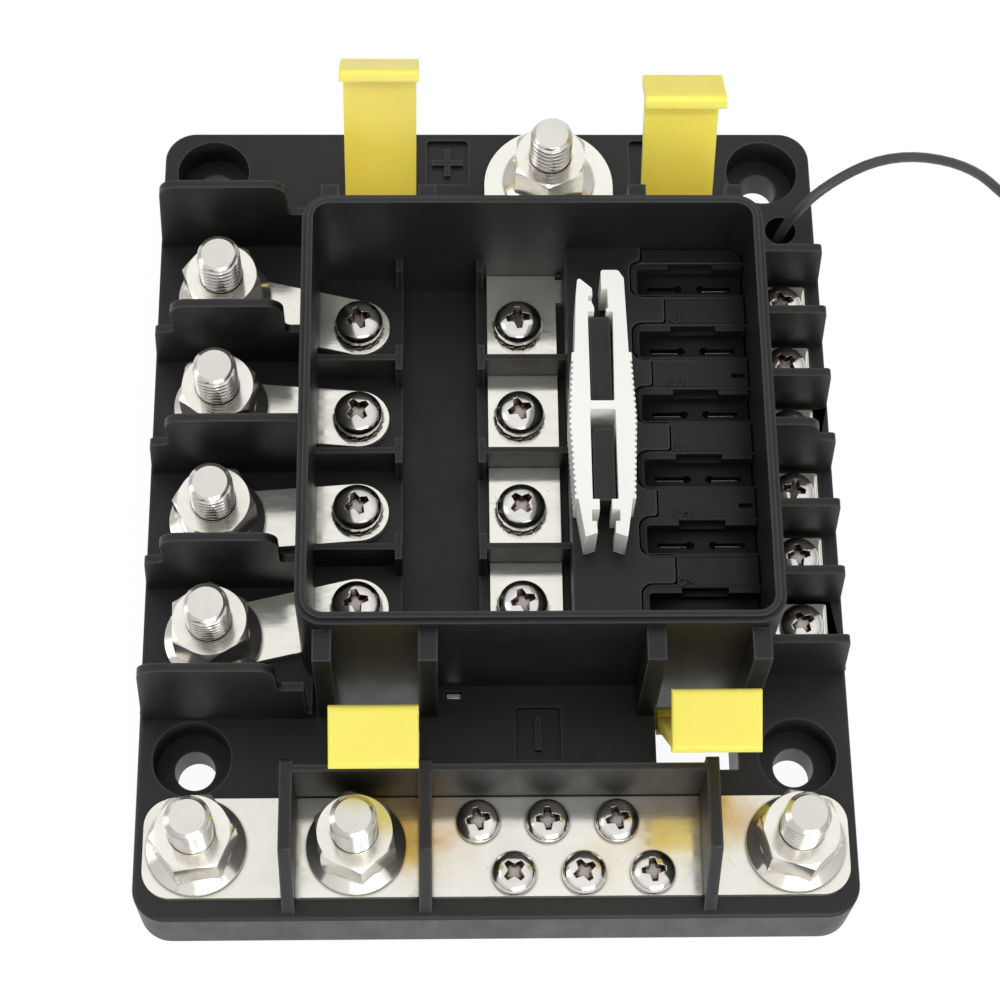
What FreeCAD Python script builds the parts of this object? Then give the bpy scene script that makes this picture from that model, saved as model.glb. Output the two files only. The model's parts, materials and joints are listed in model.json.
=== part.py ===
import FreeCAD, Part
import math
import os

# A covered fuse block with its cover off. Millimetres, +X to the right, +Y to the rear, +Z up.
# The origin is the centre of the four mounting holes, on the underside.

# Base plate
plate_width = 127.2
plate_front_y = -89.6
plate_back_y = 69.5
plate_thickness = 14.0
plate_corner_r = 6.0
plate_edge_r = 0.8
mount_spacing_x = 107.95
mount_spacing_y = 120.65
mount_bore_r = 3.65
mount_counterbore_r = 6.95
mount_counterbore_depth = 7.0

# Raised deck that carries the output terminals and the fuse bay
deck_rise = 3.0
deck_edge_inset = 0.4

# Fuse bay
block_centre_x = 7.5
block_centre_y = -5.0
bay_left_reach = 42.1
bay_right_reach = 41.7
bay_outer_y = 83.6
bay_wall = 2.0
bay_corner_r = 5.0
bay_rim_z = 46.0
rim_lip_width = 0.9
rim_lip_drop = 0.8

# Bolt-down fuses
bolted_fuse_pitch = 19.05
bolted_fuse_span = 30.0
left_fuse_screw_x = -24.9
trough_floor_z = 12.5
trough_left_x = -16.6
trough_right_x = -2.7
row_rib_thickness = 1.2
row_rib_top_z = 25.0
row_flange_length = 5.0
row_flange_thickness = 1.3

# Output straps and studs
output_count = 4
output_pitch = 23.0
output_stud_x = -50.4
bar_thickness = 1.6
strap_width = 11.7
stud_r = 4.0
stud_rise = {"positive": 17.7, "output": 18.1, "negative": 18.9}
stud_chamfer = 1.1
stud_head_across_flats = 13.0
stud_head_height = 5.3
stud_head_recess = 0.7
nut_across_flats = 13.0
nut_height = 10.0
nut_flange_r = 8.7
nut_flange_edge = 1.1
nut_cone_height = 2.6
nut_cone_r = 6.6

# How far each nut is turned, in degrees
nut_turns = {
    "positive": 27,
    "output_1": 50,
    "output_2": 22,
    "output_3": 58,
    "output_4": 32,
    "negative_1": 7,
    "negative_2": 39,
    "negative_3": 44,
}

# Dividers between the output terminals
divider_thickness = 1.6
divider_ledge_z = 29.0
divider_tab_z = 39.0
divider_step_width = 3.4
divider_draft = 0.065
divider_tab_end_x = -38.2
divider_tab_r = 3.2
divider_foot_r = 1.0
rear_divider_offset = 13.4
front_divider_offset = 12.6

# Blade fuse outputs at the right
blade_count = 6
blade_pitch = 13.05
right_divider_top_z = 30.5
right_divider_thickness = 1.6
middle_tab_z = 37.0
middle_tab_end_x = 58.6
terminal_thickness = 1.2
terminal_width = 9.6
terminal_end_x = 60.4
terminal_fold_drop = 3.4
terminal_neck_width = 7.6
terminal_screw_x = 55.5
terminal_screw_offset_y = 0.4

# Blade fuse carrier
pad_left_x = 13.8
carrier_top_z = 29.0
carrier_lobe_x = 25.8
carrier_deep_notch_x = 32.0
carrier_shallow_notch_x = 29.2
carrier_rear_notch_x = 27.9
carrier_lobe_front = 3.2
carrier_lobe_rear = 4.6
carrier_lobe_r = 2.0
carrier_notch_r = 0.7
carrier_gap = 0.3
slot_centre_x = 37.2
slot_length = 20.0
slot_width = 5.4
slot_depth = 3.0
slot_notch_length = 8.4
slot_notch_reach = 1.0
slot_notch_depth = 1.6
slot_corner_r = 0.6
blade_spacing = 10.0
blade_slit_length = 5.8
blade_slit_width = 0.9
test_hole_r = 0.8
clip_length = 5.0
clip_leaf = 0.7
clip_gap = 0.8
clip_top_z = 24.3
clip_room = 0.3
window_length = 2.6
window_width = 0.9
window_depth = 1.0
window_x = 45.2
led_board_width = 4.2
led_board_overrun = 3.0
led_board_thickness = 1.2
led_r = 0.9
led_height = 1.4

# Positive bus bar
positive_bar_left_x = -0.7
positive_bar_right_x = 12.4
positive_bar_front_y = -41.5
positive_tongue_centre_x = 11.6
positive_tongue_centre_y = 54.8
positive_tongue_r = 12.5
positive_stud_y = 55.4
input_strip_left_x = 28.6
input_strip_right_x = 34.8
input_lug_rear_gap = 1.0
input_lug_width = 5.0

# Negative bus bar and the ribs over it
negative_bar_length = 123.6
negative_bar_front_y = -86.0
negative_bar_back_y = -68.1
negative_bar_corner_r = 5.0
negative_stud_xs = [-52.4, -24.6, 52.3]
negative_rear_screw_xs = [-3.3, 8.9, 21.1]
negative_front_screw_xs = [2.9, 15.1, 27.1]
negative_screw_rear_offset = 4.3
negative_screw_front_offset = -5.0
bus_rib_xs = [-36.3, -12.5, 36.9]
bus_rib_thickness = 2.2
bus_wall_z = 30.5
bus_wall_thickness = 1.2
bus_rib_rear_reach = 1.3
bus_rib_slope_start_y = -81.8
bus_rib_foot_y = -88.6

# Latches and their slots
latch_spacing_x = 56.9
latch_hinge_offset = 5.5
latch_hinge_z = 10.0
latch_slot_half_width = 7.3
latch_slot_depth = 16.0
latch_foot_half_width = 6.7
latch_top_half_width = 7.0
latch_hook_half_width = 7.5
latch_thickness = 2.2
latch_length = 40.3
latch_hook_reach = 8.3
latch_lip_drop = 1.3
latch_lip_width = 1.8
latch_barrel_r = 2.5
latch_pin_r = 1.6
latch_pin_reach = 1.4
latch_pin_end_gap = 0.3
latch_lean = {"front_left": 28.4, "front_right": 24.9, "rear_left": 44.3, "rear_right": 31.2}
guide_rib_thickness = 3.3
guide_rib_depth = 5.8
front_guide_rib_top_z = 43.0
rear_guide_rib_top_z = 39.3
guide_rib_gap = 14.7

# Fuse puller, its edges measured from the bay's centre, and the posts that keep it
puller_centre_x = 19.4
puller_height = 8.5
puller_lift = 0.2
puller_half_width = 6.1
puller_bar_back = 3.8
puller_bar_front = 2.1
puller_slot_rear = 21.8
puller_slot_front = -15.5
puller_grip_rear = 13.5
puller_grip_middle = 0.5
puller_grip_front = -15.4
puller_grip_r = 20.0
puller_rear_end = 30.4
puller_front_end = -25.9
tooth_pitch = 1.12
tooth_depth = 0.32
post_width = 3.8
post_top_z = 36.2
post_end_gap = 0.4
post_r = 0.8

# Screws
fuse_screw_r = 2.5
fuse_screw_head_r = 4.45
fuse_screw_head_height = 3.4
fuse_screw_length = 9.0
lock_washer_r = 4.8
lock_washer_thickness = 0.9
lock_washer_teeth = 14
lock_washer_tooth_depth = 0.55
small_screw_r = 2.0
small_screw_head_r = 3.9
small_screw_head_height = 2.6
small_screw_length = 8.0
pan_rim_share = 0.4
pan_dome_angles = [0, 22, 44, 62, 76]
recess_arm = 0.75
recess_depth = 1.6

# Marks and small openings in the plate
mark_box_x = 8.1
mark_box_y = 9.9
mark_box_r = 0.7
mark_depth = 1.0
mark_sign_drop = 0.1
plus_box_centre = (-8.05, 62.7)
minus_box_centre = (7.65, -55.9)
blank_box_centre = (32.0, 62.7)
mark_bar_length = 6.1
mark_bar_width = 1.15
small_slot_centre = (-7.45, -48.6)
small_slot_length = 2.9
small_slot_width = 1.4

# Lead
lead_hole = (57.0, 47.2)
lead_hole_r = 3.0
lead_hole_floor_z = 6.0
lead_start_z = 2.0
lead_r = 1.0
lead_route = [
    (57.0, 47.2, 2.0),
    (57.0, 47.2, 17.3),
    (62.8, 50.7, 26.2),
    (77.7, 59.5, 23.6),
    (96.0, 63.0, 13.0),
    (107.0, 60.6, 1.05),
    (118.6, 54.0, 1.05),
]
coil_centre = (118.6, 38.3)
coil_mean_r = 11.5
coil_band = 6.2
coil_height = 2.1
lead_end_r = 0.6
lead_end_length = 6.0
lead_end_start_r = 7.5
lead_end_angle = 200
lead_end_slant = 30

# Clearances
metal_gap = 0.15
thread_gap = 0.05
pin_gap = 0.05

deck_z = plate_thickness + deck_rise
half_width = plate_width / 2
deck_edge_x = half_width - deck_edge_inset
bay_left = block_centre_x - bay_left_reach
bay_right = block_centre_x + bay_right_reach
bay_front = block_centre_y - bay_outer_y / 2
bay_back = block_centre_y + bay_outer_y / 2
inner_left = bay_left + bay_wall
inner_right = bay_right - bay_wall
inner_front = bay_front + bay_wall
inner_back = bay_back - bay_wall
bar_top_z = deck_z + bar_thickness
terminal_top_z = deck_z + terminal_thickness
negative_bar_y = (negative_bar_front_y + negative_bar_back_y) / 2
negative_bar_top_z = plate_thickness + bar_thickness
right_fuse_screw_x = left_fuse_screw_x + bolted_fuse_span
stud_pocket_top_z = stud_head_recess + stud_head_height
bus_wall_front_y = negative_bar_back_y + metal_gap
bus_wall_back_y = bus_wall_front_y + bus_wall_thickness
bus_rib_rear_y = bus_wall_back_y + bus_rib_rear_reach
blade_half = blade_spacing / 2
input_blade_x = slot_centre_x - blade_half
output_blade_x = slot_centre_x + blade_half
input_lug_back_y = inner_back - input_lug_rear_gap
input_lug_front_y = input_lug_back_y - input_lug_width
slot_floor_z = carrier_top_z - slot_depth


def vec(x, y, z=0.0):
    return FreeCAD.Vector(x, y, z)


def centred_rows(count, pitch):
    first = block_centre_y + pitch * (count - 1) / 2
    return [first - pitch * index for index in range(count)]


fuse_row_ys = centred_rows(output_count, bolted_fuse_pitch)
output_stud_ys = centred_rows(output_count, output_pitch)
blade_ys = centred_rows(blade_count, blade_pitch)
right_divider_ys = centred_rows(blade_count + 1, blade_pitch)
row_rib_ys = centred_rows(output_count - 1, bolted_fuse_pitch)
inner_divider_ys = centred_rows(output_count - 1, output_pitch)
rear_divider_y = output_stud_ys[0] + rear_divider_offset
front_divider_y = output_stud_ys[-1] - front_divider_offset
middle_divider_y = right_divider_ys[blade_count // 2]


def block(x0, x1, y0, y1, z0, z1):
    return Part.makeBox(x1 - x0, y1 - y0, z1 - z0, vec(x0, y0, z0))


def rod(x, y, z0, z1, radius):
    return Part.makeCylinder(radius, z1 - z0, vec(x, y, z0))


def union(shapes):
    return shapes[0].multiFuse(shapes[1:]).removeSplitter()


def without(shape, cutters):
    return shape.cut(Part.makeCompound(cutters))


def rounded_wire(corners, to_space):
    # Each corner is two coordinates and its rounding radius, in order round the outline.
    firsts = []
    arcs = []
    lasts = []
    count = len(corners)
    for index in range(count):
        a, b, radius = corners[index]
        corner = vec(a, b)
        before = vec(corners[index - 1][0], corners[index - 1][1]).sub(corner)
        after = vec(corners[(index + 1) % count][0], corners[(index + 1) % count][1]).sub(corner)
        before.normalize()
        after.normalize()
        half_angle = before.getAngle(after) / 2
        reach = radius / math.tan(half_angle)
        first = corner + before * reach
        last = corner + after * reach
        middle_line = before + after
        if radius > 0:
            middle_line.normalize()
            middle = corner + middle_line * (radius / math.sin(half_angle) - radius)
            points = [to_space(point.x, point.y) for point in (first, middle, last)]
            arcs.append(Part.Arc(*points).toShape())
        else:
            arcs.append(None)
        firsts.append(to_space(first.x, first.y))
        lasts.append(to_space(last.x, last.y))
    edges = []
    for index in range(count):
        if arcs[index] is not None:
            edges.append(arcs[index])
        start = lasts[index]
        end = firsts[(index + 1) % count]
        if start.distanceToPoint(end) > 1e-6:
            edges.append(Part.LineSegment(start, end).toShape())
    return Part.Wire(edges)


def plan_prism(corners, z0, z1):
    wire = rounded_wire(corners, lambda x, y: vec(x, y, z0))
    return Part.Face(wire).extrude(vec(0, 0, z1 - z0))


def side_prism_x(corners, x0, x1):
    wire = rounded_wire(corners, lambda y, z: vec(x0, y, z))
    return Part.Face(wire).extrude(vec(x1 - x0, 0, 0))


def side_prism_y(corners, y0, y1):
    wire = rounded_wire(corners, lambda x, z: vec(x, y0, z))
    return Part.Face(wire).extrude(vec(0, y1 - y0, 0))


def rounded_block(x0, x1, y0, y1, z0, z1, radius):
    corners = [(x0, y0, radius), (x1, y0, radius), (x1, y1, radius), (x0, y1, radius)]
    return plan_prism(corners, z0, z1)


def link(start, end, radius, z0, z1):
    # A flat bar with round ends centred on two points.
    along = vec(*end).sub(vec(*start))
    along.normalize()
    across = vec(-along.y, along.x) * radius
    a = vec(*start)
    b = vec(*end)
    first = Part.LineSegment(a + across, b + across).toShape()
    cap = Part.Arc(b + across, b + along * radius, b - across).toShape()
    second = Part.LineSegment(b - across, a - across).toShape()
    tail = Part.Arc(a - across, a - along * radius, a + across).toShape()
    face = Part.Face(Part.Wire([first, cap, second, tail]))
    face.translate(vec(0, 0, z0))
    return face.extrude(vec(0, 0, z1 - z0))


def hexagon(x, y, z0, z1, across_flats):
    corner_r = across_flats / math.sqrt(3)
    corners = []
    for index in range(6):
        angle = math.radians(60 * index)
        corners.append((x + corner_r * math.cos(angle), y + corner_r * math.sin(angle), 0))
    return plan_prism(corners, z0, z1)


def turned(x, y, profile):
    # A body turned about a vertical axis from its radius and height pairs.
    points = [vec(radius, 0, height) for radius, height in profile]
    face = Part.Face(Part.makePolygon(points + [points[0]]))
    body = face.revolve(vec(0, 0, 0), vec(0, 0, 1), 360)
    body.translate(vec(x, y, 0))
    return body


def stud(x, y, seat_z, rise):
    head = hexagon(x, y, stud_head_recess, stud_pocket_top_z, stud_head_across_flats)
    top = seat_z + rise
    shank = turned(x, y, [
        (0, stud_pocket_top_z),
        (stud_r, stud_pocket_top_z),
        (stud_r, top - stud_chamfer),
        (stud_r - stud_chamfer, top),
        (0, top),
    ])
    return union([head, shank])


def stud_hole(x, y):
    top = bay_rim_z
    shank = rod(x, y, 0, top, stud_r + metal_gap)
    pocket = hexagon(x, y, 0, stud_pocket_top_z, stud_head_across_flats + 2 * metal_gap)
    return [shank, pocket]


def flange_nut(x, y, seat_z, turn):
    corner_r = nut_across_flats / math.sqrt(3)
    flat_r = nut_across_flats / 2
    top = seat_z + nut_height
    chamfer_drop = (corner_r - flat_r) * math.tan(math.radians(30))
    body = hexagon(x, y, seat_z, top, nut_across_flats)
    body.rotate(vec(x, y, 0), vec(0, 0, 1), turn)
    crown = turned(x, y, [
        (0, seat_z),
        (corner_r, seat_z),
        (corner_r, top - chamfer_drop),
        (flat_r, top),
        (0, top),
    ])
    flange = turned(x, y, [
        (0, seat_z),
        (nut_flange_r, seat_z),
        (nut_flange_r, seat_z + nut_flange_edge),
        (nut_cone_r, seat_z + nut_cone_height),
        (0, seat_z + nut_cone_height),
    ])
    bore = rod(x, y, seat_z, top, stud_r + thread_gap)
    return without(union([body.common(crown), flange]), [bore])


def pan_head_screw(x, y, seat_z, shank_r, head_r, head_height, length):
    rim_height = head_height * pan_rim_share
    crown_z = seat_z + head_height
    dome_height = (head_height - rim_height) / math.sin(math.radians(pan_dome_angles[-1]))
    profile = [(0, seat_z - length), (shank_r, seat_z - length), (shank_r, seat_z), (head_r, seat_z)]
    for degrees in pan_dome_angles:
        angle = math.radians(degrees)
        profile.append((head_r * math.cos(angle), seat_z + rim_height + dome_height * math.sin(angle)))
    profile.append((0, crown_z))
    body = turned(x, y, profile)
    long_arm = head_r * 0.52
    half_arm = recess_arm
    floor_z = crown_z - recess_depth
    across = block(x - long_arm, x + long_arm, y - half_arm, y + half_arm, floor_z, crown_z)
    along = block(x - half_arm, x + half_arm, y - long_arm, y + long_arm, floor_z, crown_z)
    return without(body, [union([across, along])])


def toothed_washer(x, y, seat_z):
    corners = []
    for index in range(2 * lock_washer_teeth):
        angle = math.pi * index / lock_washer_teeth
        radius = lock_washer_r - lock_washer_tooth_depth * (index % 2)
        corners.append((x + radius * math.cos(angle), y + radius * math.sin(angle), 0))
    ring = plan_prism(corners, seat_z, seat_z + lock_washer_thickness)
    bore = rod(x, y, seat_z, seat_z + lock_washer_thickness, fuse_screw_r + thread_gap)
    return without(ring, [bore])


def plate():
    left = -half_width
    body = rounded_block(left, half_width, plate_front_y, plate_back_y, 0, plate_thickness, plate_corner_r)
    rim = [edge for edge in body.Edges if edge.BoundBox.ZMin > plate_thickness - 1e-3]
    body = body.makeFillet(plate_edge_r, rim)
    cutters = []
    for x in (-mount_spacing_x / 2, mount_spacing_x / 2):
        for y in (-mount_spacing_y / 2, mount_spacing_y / 2):
            cutters.append(rod(x, y, 0, plate_thickness, mount_bore_r))
            floor_z = plate_thickness - mount_counterbore_depth
            cutters.append(rod(x, y, floor_z, plate_thickness, mount_counterbore_r))
    return without(body, cutters)


def deck():
    half = divider_thickness / 2
    side = right_divider_thickness / 2
    left = block(-deck_edge_x, inner_left, front_divider_y - half, rear_divider_y + half, plate_thickness, deck_z)
    right_front = right_divider_ys[-1] - side
    right_back = right_divider_ys[0] + side
    right = block(inner_right, deck_edge_x, right_front, right_back, plate_thickness, deck_z)
    floor = rounded_block(bay_left, bay_right, bay_front, bay_back, plate_thickness, deck_z, bay_corner_r)
    seat = positive_tongue(positive_tongue_r - metal_gap, plate_thickness, deck_z)
    return union([left, floor, right, seat])


def positive_tongue(radius, z0, z1):
    end = (positive_tongue_centre_x, positive_tongue_centre_y)
    start = (positive_tongue_centre_x, inner_back)
    tongue = link(start, end, radius, z0, z1)
    # Only the part behind the bay's rear wall is kept.
    front = block(-half_width, half_width, plate_front_y, inner_back, z0, z1)
    return tongue.cut(front)


def bay_walls():
    outer = rounded_block(bay_left, bay_right, bay_front, bay_back, deck_z, bay_rim_z, bay_corner_r)
    inner_r = bay_corner_r - bay_wall
    inner = rounded_block(inner_left, inner_right, inner_front, inner_back, deck_z, bay_rim_z, inner_r)
    lip_z = bay_rim_z - rim_lip_drop
    lip_r = bay_corner_r - rim_lip_width
    keep = rounded_block(
        bay_left + rim_lip_width, bay_right - rim_lip_width,
        bay_front + rim_lip_width, bay_back - rim_lip_width,
        lip_z, bay_rim_z, lip_r)
    ring = rounded_block(bay_left, bay_right, bay_front, bay_back, lip_z, bay_rim_z, bay_corner_r).cut(keep)
    return outer.cut(inner).cut(ring)


def row_rib(y, left_x, right_x, flange_x):
    half = row_rib_thickness / 2
    rib = block(left_x, right_x, y - half, y + half, deck_z, row_rib_top_z)
    return [rib, row_flange(y, y, flange_x)]


def row_flange(y0, y1, flange_x):
    half = row_flange_length / 2
    return block(flange_x, flange_x + row_flange_thickness, y0 - half, y1 + half, deck_z, row_rib_top_z)


def row_ribs():
    left_flange_x = trough_left_x - row_flange_thickness
    right_flange_x = trough_right_x
    pieces = []
    for y in row_rib_ys:
        pieces += row_rib(y, inner_left, trough_left_x, left_flange_x)
        pieces += row_rib(y, trough_right_x, pad_left_x, right_flange_x)
    half = row_flange_length / 2
    for flange_x in (left_flange_x, right_flange_x):
        pieces.append(row_flange(inner_front, inner_front, flange_x))
        pieces.append(row_flange(inner_back, inner_back, flange_x))
    keep = block(inner_left, inner_right, inner_front, inner_back, deck_z, row_rib_top_z)
    return [piece.common(keep) for piece in pieces]


def divider_edge_x(z):
    # The dividers' outer edges lean inward as they rise.
    return deck_edge_x - divider_draft * (z - plate_thickness)


def left_divider(y, has_outer_step, has_inner_ledge):
    corners = [(-divider_edge_x(plate_thickness), plate_thickness, 0)]
    if has_outer_step:
        ledge_x = -divider_edge_x(divider_ledge_z)
        step_x = ledge_x + divider_step_width
        corners.append((ledge_x, divider_ledge_z, divider_foot_r))
        corners.append((step_x, divider_ledge_z, divider_foot_r))
        corners.append((step_x, divider_tab_z, divider_tab_r))
    else:
        corners.append((-divider_edge_x(divider_tab_z), divider_tab_z, divider_tab_r))
    wall_x = bay_left + bay_wall / 2
    if has_inner_ledge:
        corners.append((divider_tab_end_x, divider_tab_z, divider_tab_r))
        corners.append((divider_tab_end_x, divider_ledge_z, divider_foot_r))
        corners.append((wall_x, divider_ledge_z, 0))
    else:
        corners.append((wall_x, divider_tab_z, 0))
    corners.append((wall_x, plate_thickness, 0))
    half = divider_thickness / 2
    return side_prism_y(corners, y - half, y + half)


def left_dividers():
    pieces = [left_divider(rear_divider_y, False, True)]
    for index, y in enumerate(inner_divider_ys):
        pieces.append(left_divider(y, True, index % 2 == 0))
    pieces.append(left_divider(front_divider_y, False, True))
    return pieces


def right_divider(y, top_z, tab_z):
    wall_x = bay_right - bay_wall / 2
    corners = [(wall_x, plate_thickness, 0), (divider_edge_x(plate_thickness), plate_thickness, 0)]
    corners.append((divider_edge_x(top_z), top_z, divider_foot_r))
    if tab_z > top_z:
        corners.append((middle_tab_end_x, top_z, divider_foot_r))
        corners.append((middle_tab_end_x, tab_z, divider_tab_r))
    corners.append((wall_x, tab_z, 0))
    half = right_divider_thickness / 2
    return side_prism_y(corners, y - half, y + half)


def right_dividers():
    pieces = []
    for y in right_divider_ys:
        tab_z = middle_tab_z if y == middle_divider_y else right_divider_top_z
        pieces.append(right_divider(y, right_divider_top_z, tab_z))
    return pieces


def guide_ribs():
    pieces = []
    half = latch_spacing_x / 2
    for x in (block_centre_x - half, block_centre_x + half):
        for side in (-1, 1):
            a = x + side * guide_rib_gap / 2
            b = a + side * guide_rib_thickness
            low = min(a, b)
            high = max(a, b)
            pieces.append(block(low, high, bay_front - guide_rib_depth, bay_front,
                                plate_thickness, front_guide_rib_top_z))
            pieces.append(block(low, high, bay_back, bay_back + guide_rib_depth,
                                plate_thickness, rear_guide_rib_top_z))
    return pieces


def bus_ribs():
    pieces = []
    half = bus_rib_thickness / 2
    for x in bus_rib_xs:
        corners = [
            (bus_rib_rear_y, plate_thickness, 0),
            (bus_rib_rear_y, bus_wall_z, divider_foot_r),
            (bus_rib_slope_start_y, bus_wall_z, divider_foot_r),
            (bus_rib_foot_y, plate_thickness, 0),
        ]
        pieces.append(side_prism_x(corners, x - half, x + half))
    left = bus_rib_xs[0]
    right = bus_rib_xs[-1]
    pieces.append(block(left, right, bus_wall_front_y, bus_wall_back_y, plate_thickness, bus_wall_z))
    return pieces


def lobed_edge():
    # The left edge of the blade fuse carrier, from its rear end to its front end.
    corners = [(carrier_rear_notch_x, inner_back, 0)]
    for index, y in enumerate(blade_ys):
        if index == 0:
            notch_x = carrier_rear_notch_x
        else:
            notch_x = carrier_deep_notch_x if index % 2 == 1 else carrier_shallow_notch_x
        corners.append((notch_x, y + carrier_lobe_rear, carrier_notch_r))
        corners.append((carrier_lobe_x, y + carrier_lobe_rear, carrier_lobe_r))
        corners.append((carrier_lobe_x, y - carrier_lobe_front, carrier_lobe_r))
        next_x = carrier_deep_notch_x if index % 2 == 0 else carrier_shallow_notch_x
        corners.append((next_x, y - carrier_lobe_front, carrier_notch_r))
    last_x = corners[-1][0]
    corners.append((last_x, inner_front, 0))
    return corners


def carrier_pocket():
    edge = lobed_edge()
    corners = edge + [(inner_right, inner_front, 0), (inner_right, inner_back, 0)]
    return plan_prism(corners, deck_z, carrier_top_z)


def puller_pad():
    pad = block(pad_left_x, inner_right, inner_front, inner_back, deck_z, carrier_top_z)
    return without(pad, [carrier_pocket()] + input_strip_room())


def input_strip_room():
    # The tunnels round the bus bar's lug and round the strip that feeds the blade fuses.
    top = bar_top_z + metal_gap
    lug = block(pad_left_x, input_strip_right_x + metal_gap,
                input_lug_front_y - metal_gap, input_lug_back_y + metal_gap, deck_z, top)
    strip_front = blade_ys[-1] - clip_length / 2 - metal_gap
    strip = block(input_strip_left_x - metal_gap, input_strip_right_x + metal_gap,
                  strip_front, input_lug_back_y + metal_gap, deck_z, top)
    return [lug, strip]


def puller_posts():
    half = post_width / 2
    rear = (puller_slot_rear - post_end_gap, puller_bar_back + post_end_gap)
    front = (puller_bar_front - post_end_gap, puller_slot_front + post_end_gap)
    posts = []
    for back, near in (rear, front):
        posts.append(rounded_block(
            puller_centre_x - half, puller_centre_x + half,
            block_centre_y + near, block_centre_y + back,
            carrier_top_z, post_top_z, post_r))
    return posts


def trough():
    return block(trough_left_x, trough_right_x, inner_front, inner_back, trough_floor_z, deck_z)


def latch_places():
    half = latch_spacing_x / 2
    front_y = bay_front - latch_hinge_offset
    rear_y = bay_back + latch_hinge_offset
    return {
        "front_left": (block_centre_x - half, front_y, -1),
        "front_right": (block_centre_x + half, front_y, -1),
        "rear_left": (block_centre_x - half, rear_y, 1),
        "rear_right": (block_centre_x + half, rear_y, 1),
    }


def latch_openings():
    cutters = []
    for x, y, outward in latch_places().values():
        wall_y = y - outward * latch_hinge_offset
        far_y = wall_y + outward * latch_slot_depth
        low = min(wall_y, far_y)
        high = max(wall_y, far_y)
        left = x - latch_slot_half_width
        right = x + latch_slot_half_width
        cutters.append(block(left, right, low, high, 0, plate_thickness))
        reach = latch_foot_half_width + latch_pin_reach + latch_pin_end_gap
        bore = Part.makeCylinder(latch_pin_r + pin_gap, 2 * reach, vec(x - reach, y, latch_hinge_z), vec(1, 0, 0))
        cutters.append(bore)
    return cutters


def sign_bar(centre, half_x, half_y):
    x, y = centre
    top = plate_thickness - mark_sign_drop
    return block(x - half_x, x + half_x, y - half_y, y + half_y, plate_thickness - mark_depth, top)


def marks():
    # Shallow pockets whose signs stand up from the floor.
    half_x = mark_box_x / 2
    half_y = mark_box_y / 2
    half_length = mark_bar_length / 2
    half_line = mark_bar_width / 2
    lengthwise = (half_line, half_length)
    crosswise = (half_length, half_line)
    signs = {
        plus_box_centre: [lengthwise, crosswise],
        minus_box_centre: [lengthwise],
        blank_box_centre: [],
    }
    cutters = []
    for centre, bars in signs.items():
        x, y = centre
        pocket = rounded_block(x - half_x, x + half_x, y - half_y, y + half_y,
                               plate_thickness - mark_depth, plate_thickness, mark_box_r)
        raised = [sign_bar(centre, *bar) for bar in bars]
        cutters.append(without(pocket, raised) if raised else pocket)
    x, y = small_slot_centre
    half_slot = small_slot_length / 2
    cutters.append(block(x - half_slot, x + half_slot, y - small_slot_width / 2, y + small_slot_width / 2,
                         0, plate_thickness))
    return cutters


def lead_openings():
    x, y = lead_hole
    well = rod(x, y, lead_hole_floor_z, plate_thickness, lead_hole_r)
    bore = rod(x, y, lead_start_z, lead_hole_floor_z, lead_r)
    return [well, bore]


def terminal_openings():
    cutters = []
    room = terminal_width / 2 + metal_gap
    neck = terminal_neck_width / 2 + metal_gap
    top = terminal_top_z + metal_gap
    for y in blade_ys:
        cutters.append(block(inner_right, bay_right, y - neck, y + neck, deck_z, top))
        fold_left = terminal_end_x - terminal_thickness - metal_gap
        fold_right = terminal_end_x + metal_gap
        fold_floor = terminal_top_z - terminal_fold_drop - metal_gap
        cutters.append(block(fold_left, fold_right, y - room, y + room, fold_floor, deck_z))
        cutters.append(rod(terminal_screw_x, y + terminal_screw_offset_y,
                           terminal_top_z - small_screw_length - metal_gap, deck_z, small_screw_r + thread_gap))
    return cutters


def screw_openings():
    cutters = []
    floor_z = bar_top_z + lock_washer_thickness - fuse_screw_length - metal_gap
    for y in fuse_row_ys:
        for x in (left_fuse_screw_x, right_fuse_screw_x):
            cutters.append(rod(x, y, floor_z, deck_z, fuse_screw_r + thread_gap))
    bus_floor_z = negative_bar_top_z - small_screw_length - metal_gap
    for x, y in negative_screw_places():
        cutters.append(rod(x, y, bus_floor_z, plate_thickness, small_screw_r + thread_gap))
    return cutters


def negative_screw_places():
    rear = [(x, negative_bar_y + negative_screw_rear_offset) for x in negative_rear_screw_xs]
    front = [(x, negative_bar_y + negative_screw_front_offset) for x in negative_front_screw_xs]
    return rear + front


def stud_places():
    places = {"positive": (positive_tongue_centre_x, positive_stud_y, bar_top_z)}
    for index, y in enumerate(output_stud_ys):
        places["output_%d" % (index + 1)] = (output_stud_x, y, bar_top_z)
    for index, x in enumerate(negative_stud_xs):
        places["negative_%d" % (index + 1)] = (x, negative_bar_y, negative_bar_top_z)
    return places


def bar_tunnels():
    top = bar_top_z + metal_gap
    cutters = []
    for stud_y, screw_y in zip(output_stud_ys, fuse_row_ys):
        start = (output_stud_x, stud_y)
        end = (left_fuse_screw_x, screw_y)
        cutters.append(link(start, end, strap_width / 2 + metal_gap, deck_z, top))
    cutters.append(block(positive_bar_left_x - metal_gap, positive_bar_right_x + metal_gap,
                         positive_bar_front_y - metal_gap, inner_back, deck_z, top))
    cutters.append(positive_tongue(positive_tongue_r + metal_gap, deck_z, top))
    cutters.append(negative_bar_shape(metal_gap, plate_thickness, negative_bar_top_z + metal_gap))
    return cutters


def negative_bar_shape(growth, z0, z1):
    half = negative_bar_length / 2 + growth
    corner_r = negative_bar_corner_r + growth
    return rounded_block(-half, half, negative_bar_front_y - growth, negative_bar_back_y + growth, z0, z1, corner_r)


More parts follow.
